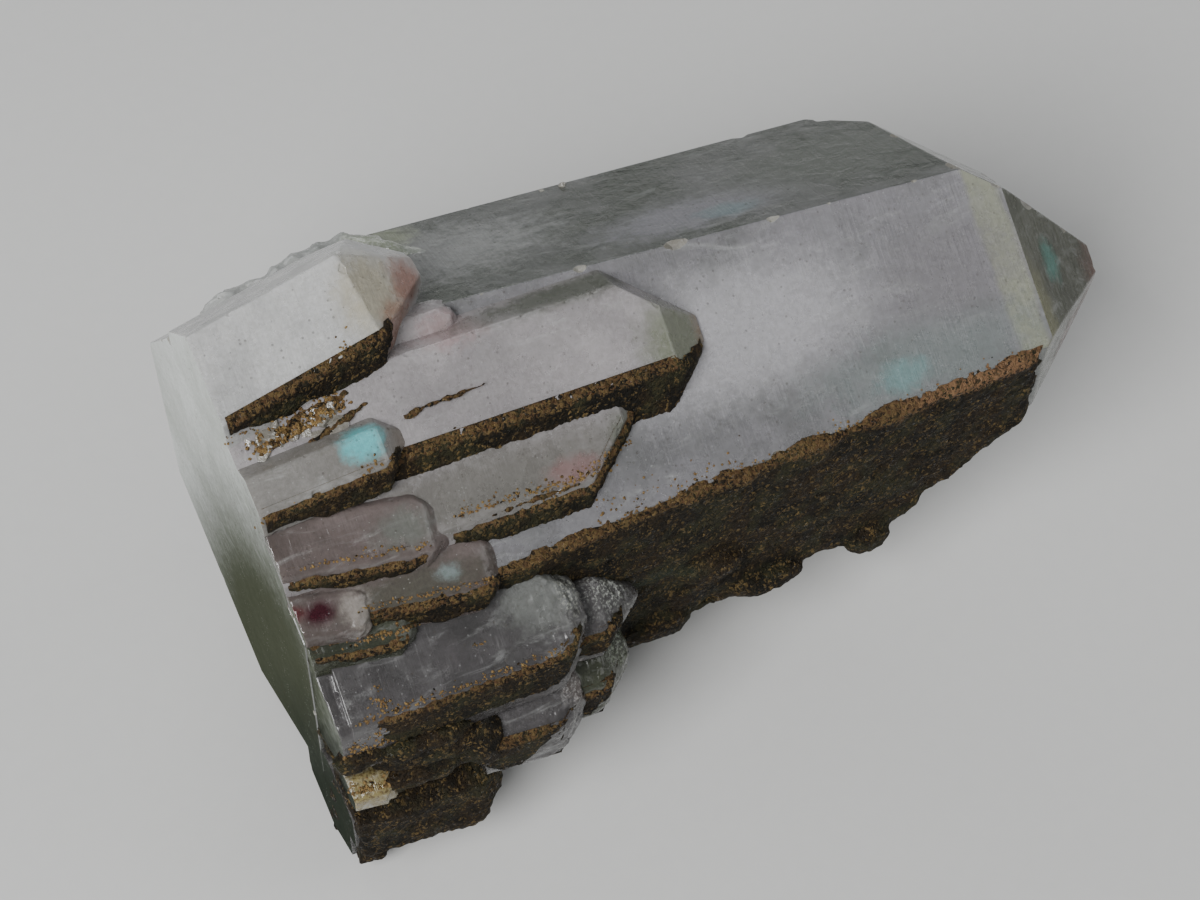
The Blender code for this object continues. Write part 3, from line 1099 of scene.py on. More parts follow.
@dataclass(frozen=True)
class SideCrystal:
    """A small six-sided crystal grown on the side of the large one, nearly parallel to it.

    Root is the middle of its top face at its near end. Length runs along the top face. The trims
    draw back the tip faces above and below, and blunt cuts the point short. A melted crystal has
    rounded glassy edges and rippled ends.
    """

    name: str
    root: tuple
    half_width: float
    length: float
    tone: Tone
    turn: float = 0.0
    lower_flank: float = 60.0
    upper_flank: float = 60.0
    upper_trim: float = 0.0
    lower_trim: float = 0.0
    blunt: float = 40.0
    dip: float = 2.2
    rounding: float = 0.25
    melted: bool = False
    ripple: float = 0.0
    crusted: bool = False
    ripple_spacing: float = 1.1
    melted_cell: float = 0.36

    def apothem(self) -> float:
        """Half the crystal's height."""
        return self.half_width * ROOT_THREE

    def tip_planes(self) -> dict:
        """Work out the faces of the pointed end in the crystal's own frame.

        Returns:
            The planes, by azimuth.
        """
        middle = Vector((0, 0, -self.apothem()))
        trims = {
            0: 0.0,
            60: self.upper_trim,
            120: self.upper_trim,
            180: 0.0,
            240: self.lower_trim,
            300: self.lower_trim,
        }
        planes = {}
        for azimuth, trim_length in trims.items():
            plane = tip_plane(azimuth, 0.0)
            reach = (self.length + trim_length) * plane.normal.x + self.apothem() * math.sin(TIP_ANGLE)
            planes[azimuth] = plane.moved(reach + plane.normal.dot(middle))
        return planes

    def flank_plane(self, side: int) -> CutPlane:
        """Work out a sloping flank beside the top face.

        Args:
            side: 1 for the flank above the top face, -1 for the one below.

        Returns:
            Its plane.
        """
        slant = math.radians(self.upper_flank if side > 0 else self.lower_flank)
        normal = Vector((0, side * math.sin(slant), math.cos(slant)))
        return CutPlane(normal, self.half_width * math.sin(slant))

    def planes(self, grow: float) -> list:
        """Work out all faces in the crystal's own frame.

        Args:
            grow: how far they are moved out.

        Returns:
            The planes.
        """
        middle = Vector((0, 0, -self.apothem()))
        found = []
        for azimuth in (0, 120, 180, 240):
            plane = prism_plane(azimuth, 0.0)
            found.append(plane.moved(self.apothem() + plane.normal.dot(middle)))
        found += [self.flank_plane(1), self.flank_plane(-1)]
        found += list(self.tip_planes().values())
        found.append(CutPlane(Vector((1, 0, 0)), self.length + self.blunt))
        return [plane.moved(grow) for plane in found]

    def place(self) -> Matrix:
        """Work out where the crystal's own frame is in the large crystal's.

        Returns:
            The placement.
        """
        turn = Matrix.Rotation(math.radians(self.turn), 4, "Z")
        dip = Matrix.Rotation(math.radians(self.dip), 4, "Y")
        return Matrix.Translation(Vector(self.root)) @ turn @ dip

    def settle(self, shape: bmesh.types.BMesh, sawn: CutPlane, grow: float = 0.0) -> None:
        """Put a shape of the crystal's own frame in the large crystal's, and saw off its near end.

        Args:
            shape: the shape.
            sawn: the plane that ends it.
            grow: how far its faces were moved out.
        """
        shape.transform(self.place())
        if self.root[0] > 0:
            cut(shape, CutPlane(Vector((-1, 0, 0)), grow - self.root[0]))
        cut(shape, sawn)

    def flat_solid(self, sawn: CutPlane, grow: float = 0.0) -> bmesh.types.BMesh:
        """Make the crystal with plain sharp faces, in the large crystal's frame.

        Args:
            sawn: the plane that ends it.
            grow: how far its faces are moved out.

        Returns:
            The solid.
        """
        shape = cut_from_block(self.planes(grow))
        self.settle(shape, sawn, grow)
        return shape

    def build(self, sawn: CutPlane, picker: random.Random, materials: tuple) -> bpy.types.Object:
        """Make the crystal as it looks, in the large crystal's frame.

        Args:
            sawn: the plane that ends it.
            picker: the random source.
            materials: the quartz finishes.

        Returns:
            The object.
        """
        shape = cut_from_block(self.planes(0.0))
        if self.melted:
            return self.build_melted(shape, sawn, materials)
        nicks = Nicks(picker)
        if not self.crusted:
            nicks.along_edges(shape, spacing=7.0, radii=(0.8, 2.2), depth=(0.12, 0.4))
        soften(shape, self.rounding, segments=2)
        made = as_object(self.name, shape, materials)
        nicks.cut_from(made, materials)
        self.finish(made, sawn)
        return made

    def finish(self, made: bpy.types.Object, sawn: CutPlane) -> None:
        """Put the crystal in its place, saw it off and give its faces their finish.

        Args:
            made: the crystal in its own frame.
            sawn: the plane that ends it.
        """
        with editing(made) as shape:
            self.settle(shape, sawn)
            paint(shape, self.tone, sawn)

    def build_melted(self, shape: bmesh.types.BMesh, sawn: CutPlane, materials: tuple) -> bpy.types.Object:
        """Make a crystal with rounded glassy edges and a rippled end.

        Args:
            shape: the sharp crystal in its own frame.
            sawn: the plane that ends it.
            materials: the quartz finishes.

        Returns:
            The object.
        """
        soften(shape, self.rounding, segments=4)
        cut(shape, CutPlane(Vector((-1, 0, 0)), 3.0))
        made = as_object(self.name, shape, materials)
        melt(made, self.melted_cell, smooth=True)
        heart = Vector((self.length - 0.9 * self.half_width, 0.0, -0.6 * self.apothem()))

        def ripples(point: Vector, normal: Vector) -> float:
            """Work out shell-like ripples round the end, and faint unevenness elsewhere.

            Args:
                point: a place on the skin.
                normal: the skin's direction there; not used.

            Returns:
                How far the skin moves outwards.
            """
            near_end = clamp((point.x - self.length + 1.1 * self.half_width) / 3.0)
            wander = 7.0 * noise.noise(point / 1.9)
            rings = math.sin(math.tau * (point - heart).length / self.ripple_spacing + wander)
            waves = rings + 1.4 * noise.noise(point / 0.7)
            return 0.55 * self.ripple * near_end * waves + 0.10 * noise.noise(point / 1.7)

        push_skin(made, ripples)
        self.finish(made, sawn)
        return made


SIDE_CRYSTALS = (
    SideCrystal("upper_large", (0, 19.1, 36.8), 5.5, 20.5, Tone.WHITE, turn=11.3, lower_flank=52,
                upper_flank=80, blunt=9.6),
    SideCrystal("middle_large", (0, 9.3, 33.6), 5.7, 55.5, Tone.ROSY, lower_flank=46, upper_trim=-4.5,
                lower_trim=1.0, blunt=5.6),
    SideCrystal("middle_narrow", (0, -1.8, 31.6), 4.7, 47.0, Tone.ROSY, turn=0.4, lower_flank=46,
                upper_trim=2.0, lower_trim=-5.5, blunt=6.0),
    SideCrystal("pink_nub", (14, 17.4, 30.5), 1.9, 16.5, Tone.ROSY, turn=-1.5, blunt=1.4, rounding=0.5,
                melted=True, ripple=0.22),
    SideCrystal("blue_spotted", (0, 4.5, 36.2), 2.25, 17.0, Tone.BLUE, turn=3.2, lower_flank=52,
                upper_trim=0.5, blunt=5.0, rounding=0.4),
    SideCrystal("purple_round", (0, -1.8, 32.6), 3.2, 20.0, Tone.PURPLE, turn=-8.8, lower_flank=50,
                upper_trim=-1.0, lower_trim=0.5, blunt=3.6, rounding=0.9, melted=True, ripple=0.08),
    SideCrystal("purple_low", (2, -8.7, 30.0), 2.8, 23.5, Tone.PURPLE, turn=-7.6, lower_flank=50,
                blunt=3.6, rounding=0.9, melted=True, ripple=0.06),
    SideCrystal("red_broken", (0, -10.1, 30.6), 2.4, 9.4, Tone.PURPLE, turn=-13.0, lower_flank=56,
                blunt=1.2, rounding=0.6, melted=True, ripple=0.2),
    SideCrystal("green_stub", (0, -13.4, 28.8), 2.2, 13.6, Tone.GREEN, turn=-8.0, lower_flank=56,
                blunt=2.0, rounding=0.6, melted=True, ripple=0.1),
    SideCrystal("lower_large", (3.8, -20.4, 26.2), 5.2, 29.6, Tone.GLASSY, upper_trim=-2.0,
                lower_trim=-1.5, blunt=3.0, rounding=0.7, melted=True, ripple=0.16),
    SideCrystal("lower_shoulder", (0, -20.8, 25.2), 5.2, 9.0, Tone.GLASSY, turn=-3.0, blunt=2.0,
                rounding=1.0, melted=True, ripple=0.2),
    SideCrystal("yellow_chip", (0, -33.2, 13.4), 1.5, 7.4, Tone.BROKEN, turn=-7.0, blunt=1.2,
                rounding=0.3, melted=True, ripple=0.5),
    SideCrystal("lower_glassy", (8, -19.6, 21.2), 3.4, 31.0, Tone.GLASSY, turn=-4.0, blunt=6.5,
                rounding=0.5, melted=True, ripple=0.16),
    SideCrystal("lower_round", (20, -30.1, 15.4), 4.2, 12.0, Tone.GLASSY, turn=-4.0, upper_trim=-1.5,
                lower_trim=-1.0, blunt=3.4, rounding=1.3, melted=True, ripple=0.2),
    SideCrystal("lower_green", (10, -27.6, 13.4), 3.9, 28.0, Tone.GREEN, turn=-1.5, blunt=5.2,
                rounding=0.6, melted=True, ripple=0.14),
    SideCrystal("root_crusted", (0, -33.8, 4.2), 4.2, 19.5, Tone.GLASSY, turn=-3.0, blunt=3.0,
                crusted=True),
    SideCrystal("corner_crusted", (0, -36.2, -4.4), 4.0, 6.0, Tone.GLASSY, blunt=3.0, crusted=True),
)


@dataclass(frozen=True)
class ChipPatch:
    """A patch of broken quartz chips: its middle, how far they spread, how many and how large."""

    middle: tuple
    spread: tuple
    count: int
    size: float
    stretch: tuple = (1.0, 1.0, 1.0)
    facets: int = 11

    def shapes(self, picker: random.Random, sawn: CutPlane) -> list:
        """Make the chips, each cut from a block by random planes.

        Args:
            picker: the random source.
            sawn: the plane of the sawn base.

        Returns:
            Their solids.
        """
        made = []
        for _ in range(self.count):
            shape = bmesh.new()
            bmesh.ops.create_cube(shape, size=2 * self.size)
            for _ in range(self.facets):
                normal = Vector([picker.gauss(0, 1) for _ in range(3)]).normalized()
                cut(shape, CutPlane(normal, self.size * picker.uniform(0.5, 0.9)))
            bmesh.ops.scale(shape, vec=Vector(self.stretch), verts=shape.verts)
            offset = Vector([picker.uniform(-reach, reach) for reach in self.spread])
            shape.transform(Matrix.Translation(Vector(self.middle) + offset))
            cut(shape, sawn)
            paint(shape, Tone.BROKEN)
            made.append(shape)
        return made


CHIP_PATCHES = (
    ChipPatch((9.0, 10.6, 32.9), (6.5, 1.5, 0.3), 20, 1.3, (1.0, 1.0, 0.6)),
    # Small white flakes along the top edge of the dark face: real chips, their whiteness partly painted
    # glints.
    ChipPatch((50.0, 31.0, 4.6), (12.0, 0.15, 0.5), 5, 0.45),
)


@dataclass(frozen=True)
class BrokenLip:
    """The wavy glassy lip that a break left along the rim: points on it, each with a radius."""

    knots: tuple = (
        (-1.0, 25.9, 19.8, 1.5),
        (3.5, 26.9, 17.6, 1.0),
        (8.0, 28.8, 15.4, 1.9),
        (12.5, 29.2, 13.2, 1.5),
        (17.0, 30.6, 11.0, 1.9),
        (21.0, 31.4, 9.0, 1.7),
        (24.5, 31.7, 8.0, 1.9),
        (27.5, 30.6, 9.6, 1.8),
        (30.0, 29.0, 11.8, 1.7),
        (32.0, 27.9, 12.8, 1.0),
    )
    balls_between: int = 4
    ball_length: float = 2.4
    ball_height: float = 0.9
    cell: float = 0.4

    def build(self, picker: random.Random, sawn: CutPlane, materials: tuple) -> bpy.types.Object:
        """Make the lip.

        Args:
            picker: the random source.
            sawn: the plane of the sawn base.
            materials: the quartz finishes.

        Returns:
            The object.
        """
        shapes = []
        for start, end in zip(self.knots, self.knots[1:]):
            along = Vector(end).xyz - Vector(start).xyz
            turn = along.to_track_quat("X", "Z").to_matrix().to_4x4()
            for number in range(self.balls_between):
                knot = Vector(start).lerp(Vector(end), number / self.balls_between)
                radius = knot.w * picker.uniform(0.88, 1.0)
                radii = Vector((self.ball_length * radius, radius, self.ball_height * radius))
                shape = ball(Vector(), radii, 2)
                shape.transform(Matrix.Translation(knot.xyz) @ turn)
                shapes.append(shape)
        made = as_object("lip", gathered(shapes), materials)
        melt(made, self.cell, smooth=True)

        def shells(point: Vector, normal: Vector) -> float:
            """Curved shell-like hollows with sharp edges between them."""
            return 0.45 - 1.4 * abs(noise.noise(point / 4.2)) - 0.35 * abs(noise.noise(point / 1.3))

        push_skin(made, shells)
        with editing(made) as shape:
            cut(shape, sawn)
            paint(shape, Tone.LIP, sawn)
        return made


@dataclass
class QuartzCluster:
    """The large crystal with its side crystals and broken chips, as one solid."""

    middle: Vector = field(default_factory=lambda: Vector((60, 0, 0)))
    sawn_corners: tuple = ((-0.8, 25.0, 30.0), (-1.7, 20.0, -20.0), (2.0, -42.0, -12.0))
    broken_edge: tuple = ((29, 33.6, 3.0), (-1.5, 26.6, 19.8), (0.0, 29.0, -3.0))
    prism_faces: dict = field(default_factory=lambda: {
        0: (28.8, 0.038),
        60: (33.0, 0.070),
        120: (25.8, 0.006),
        180: (29.6, 0.050),
        240: (30.2, 0.085),
        298: (25.9, 0.053),
    })
    tip_faces: dict = field(default_factory=lambda: {
        0: 84.9,
        65: 81.9,
        120: 76.6,
        180: 63.5,
        240: 72.0,
        300: 81.2,
    })
    tip_blunt: float = 119.3
    shoulder: tuple = (60, 93.05, math.radians(42.7))
    edge_wear: float = 0.22
    rim_nicks: int = 30

    def sawn(self) -> CutPlane:
        """Plane of the sawn base."""
        return plane_through(self.sawn_corners, self.middle)

    def faces(self) -> list:
        """List the faces of the large crystal.

        Returns:
            Pairs of a plane and its finish.
        """
        prism_tones = {0: Tone.BRIGHT_FACE, 60: Tone.DARK_FACE}
        tip_tones = {0: Tone.POINT, 65: Tone.DARK_FACE, 240: Tone.POINT, 300: Tone.POINT}
        found = [(self.sawn(), Tone.SAWN)]
        for azimuth, face in self.prism_faces.items():
            found.append((prism_plane(azimuth, *face), prism_tones.get(azimuth, Tone.HIDDEN_SIDE)))
        for azimuth, distance in self.tip_faces.items():
            found.append((tip_plane(azimuth, distance), tip_tones.get(azimuth, Tone.HIDDEN_SIDE)))
        found.append((tip_plane(*self.shoulder), Tone.DARK_FACE))
        found.append((CutPlane(Vector((1, 0, 0)), self.tip_blunt), Tone.POINT))
        found.append((plane_through(self.broken_edge, self.middle), Tone.DARK_FACE))
        return found

    def core(self, shrink: float) -> bpy.types.Object:
        """The large crystal alone with every face moved in, for hollowing the crust."""
        return as_object("core", cut_from_block([plane.moved(-shrink) for plane, _ in self.faces()]))

    def large_crystal(self, picker: random.Random, materials: tuple) -> bpy.types.Object:
        """The large crystal with worn and nicked edges.

        Args:
            picker: the random source.
            materials: the quartz finishes.

        Returns:
            The object.
        """
        faces = self.faces()
        shape = cut_from_block([plane for plane, _ in faces])
        for face in shape.faces:
            nearest = max(faces, key=lambda pair: pair[0].normal.dot(face.normal))
            face.material_index = nearest[1].value
        nicks = Nicks(picker)
        rim_start, rim_end = Vector((-1.5, 26.6, 19.8)), Vector((31, 33.9, 2.0))
        outward = Vector((-0.1, 0.75, 0.65))
        for number in range(self.rim_nicks):
            place = rim_start.lerp(rim_end, (number + picker.uniform(0.2, 0.8)) / self.rim_nicks)
            nicks.add(place, outward, picker.uniform(1.0, 3.6), picker.uniform(0.4, 1.0))
        nicks.along_edges(shape, spacing=9.0, radii=(1.2, 3.2), depth=(0.12, 0.45))
        soften(shape, self.edge_wear, segments=2)
        quartz = as_object("quartz_crystals", shape, materials)
        nicks.cut_from(quartz, materials)
        return quartz

    def build(self, effects: Effects) -> bpy.types.Object:
        """Build and dress the cluster.

        Args:
            effects: the shared node groups.

        Returns:
            The finished piece.
        """
        materials = tuple(QUARTZ_FINISHES[tone].material(effects) for tone in Tone)
        picker = random.Random(11)
        quartz = self.large_crystal(picker, materials)
        sawn = self.sawn()
        ordered = sorted(SIDE_CRYSTALS, key=lambda crystal: crystal.melted)
        for patch in CHIP_PATCHES:
            for shape in patch.shapes(picker, sawn.moved(-0.3)):
                combine(quartz, as_object("chip", shape, materials), Joining.UNION)
        for number, crystal in enumerate(ordered):
            part = crystal.build(sawn.moved(-0.02 * (number + 1)), picker, materials)
            combine(quartz, part, Joining.UNION)
        combine(quartz, BrokenLip().build(picker, sawn.moved(-0.35), materials), Joining.UNION)
        drop_crumbs(quartz, smallest=60)
        log.info("quartz closed: %s", is_closed(quartz))
        return quartz

    def finish(self, quartz: bpy.types.Object) -> None:
        """Lay the cluster down and tie it to the frame.

        Args:
            quartz: the cluster.
        """
        lay_down(quartz)
        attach(quartz, "root")
        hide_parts("quartz_cluster")


CREAM = (0.46, 0.42, 0.31)
RUSTY_PINK = (0.33, 0.18, 0.125)
PINK = (0.38, 0.25, 0.25)
TURQUOISE = (0.16, 0.52, 0.55)
PALE_BLUE = (0.24, 0.34, 0.36)
WHITE_VEIL = (0.50, 0.50, 0.49)
YELLOW_GREEN = (0.29, 0.30, 0.22)
DEEP_RUST = (0.12, 0.055, 0.04)

QUARTZ_FINISHES = {
    Tone.BRIGHT_FACE: QuartzFinish(
        "bright_face_quartz",
        milky=(0.235, 0.228, 0.242),
        smoky=(0.15, 0.15, 0.152),
        tints=(
            # This lighter patch in the middle of the bright face is a painted soft highlight.
            Tint((64, 5, 26), (23, 10, 9), (0.44, 0.432, 0.448), 0.85, 0.3),
            Tint((88, -6, 25), (18, 6, 6), (0.17, 0.205, 0.195), 0.6, 0.5),
            Tint((84.7, -7.2, 25.6), (4, 2.4, 3), (0.17, 0.31, 0.31), 0.65, 0.5),
            Tint((95, 4, 25), (11, 8, 6), (0.185, 0.175, 0.184), 0.6, 0.5),
        ),
        phantoms=(Phantom(0, 83.3, 1.3, YELLOW_GREEN, 0.85),),
    ),
    # The dark face's quartz is darker and smokier than the bright face's: partly smoky quartz, partly painted
    # shade.
    Tone.DARK_FACE: QuartzFinish(
        "shaded_smoky_face_quartz",
        milky=(0.20, 0.205, 0.20),
        smoky=(0.095, 0.108, 0.088),
        veil=(0.38, 0.39, 0.38),
        veil_strength=0.5,
        see_through=0.5,
        roughness=0.14,
        tints=(
            Tint((32, 26, 14), (19, 8, 10), (0.42, 0.43, 0.42), 0.85, 0.6),
            Tint((10, 28, 18), (21, 6, 10), WHITE_VEIL, 0.85, 0.5),
            Tint((30, 31, 8), (4.5, 3, 4), (0.46, 0.50, 0.36), 0.85, 0.5),
            Tint((66, 21, 20), (14, 3.5, 6), (0.34, 0.335, 0.37), 0.8, 0.5),
            Tint((71, 20, 21), (4.5, 2, 2.5), PALE_BLUE, 0.65, 0.5),
            Tint((90, 23, 14), (17, 9, 10), (0.185, 0.20, 0.178), 0.7, 0.5),
        ),
    ),
    Tone.POINT: QuartzFinish(
        "pointed_end_quartz",
        milky=(0.13, 0.135, 0.106),
        smoky=(0.075, 0.078, 0.057),
        see_through=0.35,
        roughness=0.2,
        shine=0.3,
        tints=(
            Tint((110.5, 0.5, 21), (1.8, 3.2, 3), (0.075, 0.24, 0.20), 0.7, 0.6),
            Tint((106, -6, 24), (2.2, 8, 3), (0.24, 0.235, 0.14), 0.65, 0.5),
            Tint((113.5, -9, 12), (5, 5, 6), DEEP_RUST, 0.9),
            Tint((118.5, -3, 11), (4.5, 7, 6), DEEP_RUST, 0.9),
        ),
    ),
    Tone.SAWN: QuartzFinish(
        "sawn_quartz",
        milky=(0.56, 0.58, 0.56),
        smoky=(0.42, 0.44, 0.41),
        roughness=0.4,
        relief=0.05,
        lines=0.0,
        see_through=0.05,
        shine=0.0,
        depth=0.15,
        tints=(
            # These two patches darken the sawn base towards the bottom: partly dark greenish quartz, partly
            # painted shade.
            Tint((0, -15, -5), (8, 28, 70), (0.05, 0.056, 0.036), 1.0, 0.15),
            Tint((0, -40, -8), (8, 22, 70), (0.02, 0.025, 0.018), 1.0, 0.15),
        ),
    ),
    Tone.HIDDEN_SIDE: QuartzFinish(
        "back_quartz",
        milky=(0.27, 0.275, 0.27),
        smoky=(0.13, 0.14, 0.12),
        veil_strength=0.5,
        see_through=0.5,
        roughness=0.14,
        lines=0.8,
        tints=(
            Tint((12, 8, -10), (26, 30, 40), (0.36, 0.365, 0.355), 0.7, 0.6),
            Tint((96, 10, -6), (9, 12, 16), (0.09, 0.10, 0.078), 0.8, 0.6),
            Tint((62, 24, -12), (6, 6, 4), (0.17, 0.27, 0.28), 0.5, 0.8),
        ),
    ),
    Tone.WHITE: QuartzFinish(
        "white_quartz",
        milky=(0.58, 0.58, 0.57),
        smoky=(0.42, 0.42, 0.415),
        tints=(
            Tint((22, 23, 34), (5.5, 6.5, 6), CREAM, 0.85),
            Tint((27.6, 23.2, 31.4), (3.0, 5.0, 5), (0.30, 0.165, 0.13), 0.9),
            Tint((23.6, 18.6, 31), (3.6, 4.2, 5), RUSTY_PINK, 0.9),
        ),
    ),
    Tone.ROSY: QuartzFinish(
        "rosy_quartz",
        milky=(0.40, 0.375, 0.378),
        smoky=(0.28, 0.262, 0.265),
        tints=(
            Tint((30, 16.5, 31), (5, 3, 4), PINK, 0.55, 0.6),
            Tint((24, -3, 30), (32, 6.0, 2.4), (0.155, 0.147, 0.132), 0.9),
            Tint((36, -5, 29), (22, 3.0, 4), (0.15, 0.145, 0.13), 0.6),
            Tint((39, -4.6, 30), (4, 2, 3), (0.25, 0.145, 0.14), 0.7),
            Tint((48, -2, 29), (4, 3, 5), (0.12, 0.13, 0.10), 0.8),
            Tint((48, 16.3, 30), (19, 2.2, 5), (0.085, 0.09, 0.07), 1.0),
            Tint((57.5, 6, 31), (6.5, 7, 8), (0.19, 0.205, 0.145), 0.9),
            Tint((61.5, 6, 29), (2, 5, 6), (0.24, 0.16, 0.105), 0.7),
        ),
    ),
    Tone.BLUE: QuartzFinish(
        "turquoise_spotted_quartz",
        milky=(0.29, 0.28, 0.265),
        smoky=(0.21, 0.20, 0.185),
        roughness=0.16,
        tints=(
            Tint((15.0, 6.7, 35.6), (3.2, 2.5, 3.0), TURQUOISE, 1.0, 0.45),
            Tint((20.5, 5, 34), (2.4, 3, 3), (0.20, 0.17, 0.145), 0.8),
        ),
    ),
    Tone.PURPLE: QuartzFinish(
        "purple_quartz",
        milky=(0.185, 0.15, 0.142),
        smoky=(0.105, 0.085, 0.078),
        see_through=0.35,
        roughness=0.16,
        shine=0.35,
        tints=(
            Tint((17, -4.6, 31), (4.5, 3, 4), (0.16, 0.175, 0.155), 0.7, 0.5),
            Tint((15, -12.0, 29), (13, 3.2, 2.4), (0.085, 0.083, 0.064), 0.75, 0.5),
            Tint((8.6, -11.7, 30.4), (2.2, 2.6, 3), (0.34, 0.31, 0.28), 0.75, 0.7),
            Tint((4.3, -10.8, 30.4), (2.2, 1.7, 2.4), (0.045, 0.006, 0.012), 1.0, 0.25),
            Tint((1.3, -10.0, 30.4), (1.5, 1.2, 1.8), (0.09, 0.018, 0.02), 0.95, 0.3),
            Tint((20.4, -11.2, 28.8), (1.8, 1.3, 2), (0.24, 0.30, 0.30), 0.7, 0.7),
        ),
    ),
    Tone.GREEN: QuartzFinish(
        "greenish_quartz",
        milky=(0.068, 0.073, 0.05),
        smoky=(0.035, 0.039, 0.026),
        see_through=0.35,
        roughness=0.2,
        shine=0.35,
        tints=(Tint((42, -27.5, 11), (4, 4, 5), (0.32, 0.36, 0.28), 0.8, 0.5, True),),
    ),
    Tone.GLASSY: QuartzFinish(
        "glassy_quartz",
        # The dark milky and smoky colours are painted shade on the lower crystals, over clearer glassy
        # quartz.
        milky=(0.086, 0.080, 0.081),
        smoky=(0.048, 0.046, 0.045),
        see_through=0.3,
        roughness=0.24,
        shine=0.4,
        tints=(
            Tint((31, -18, 25), (6, 5, 5), (0.22, 0.23, 0.215), 0.6, 0.6),
            Tint((34, -30, 12), (3, 4, 5), (0.17, 0.14, 0.125), 0.6, 0.6),
            Tint((42, -20.4, 19), (6, 4, 3.5), (0.50, 0.52, 0.47), 0.85, 0.5, True),
            Tint((34.6, -18, 23.5), (1.8, 6, 6), (0.42, 0.43, 0.38), 0.8, 0.4, True),
            Tint((33.5, -29.5, 14), (2.6, 4, 4), (0.44, 0.42, 0.40), 0.8, 0.5, True),
        ),
    ),
    Tone.BROKEN: QuartzFinish(
        "broken_quartz",
        # The whitish colours are partly the white of broken quartz, partly painted glints on the chips.
        milky=(0.44, 0.43, 0.38),
        smoky=(0.27, 0.25, 0.21),
        see_through=0.45,
        roughness=0.12,
        relief=0.4,
        tints=(
            Tint((5, -34, 12), (7, 4, 4), (0.34, 0.27, 0.09), 0.85, 0.9),
            Tint((5, -34, 12), (7, 4, 4), (0.11, 0.06, 0.02), 0.75, 0.5, True),
        ),
    ),
    Tone.LIP: QuartzFinish(
        "lip_quartz",
        milky=(0.60, 0.61, 0.59),
        smoky=(0.38, 0.395, 0.38),
        see_through=0.4,
        roughness=0.12,
        tints=(
            Tint((28, 30, 12), (6, 5, 6), (0.40, 0.44, 0.33), 0.8, 0.5),
            Tint((28, 30, 12), (6, 5, 6), (0.66, 0.68, 0.62), 0.8, 0.3, True),
        ),
    ),
}


@dataclass(frozen=True)
class Lump:
    """A rounded lump of crust."""

    middle: tuple
    radii: tuple
    turn: float = 0.0

    def shape(self) -> bmesh.types.BMesh:
        """Make the lump.

        Returns:
            Its solid.
        """
        made = ball(Vector(), Vector(self.radii))
        turn = Matrix.Rotation(math.radians(self.turn), 4, "Z")
        made.transform(Matrix.Translation(Vector(self.middle)) @ turn)
        return made


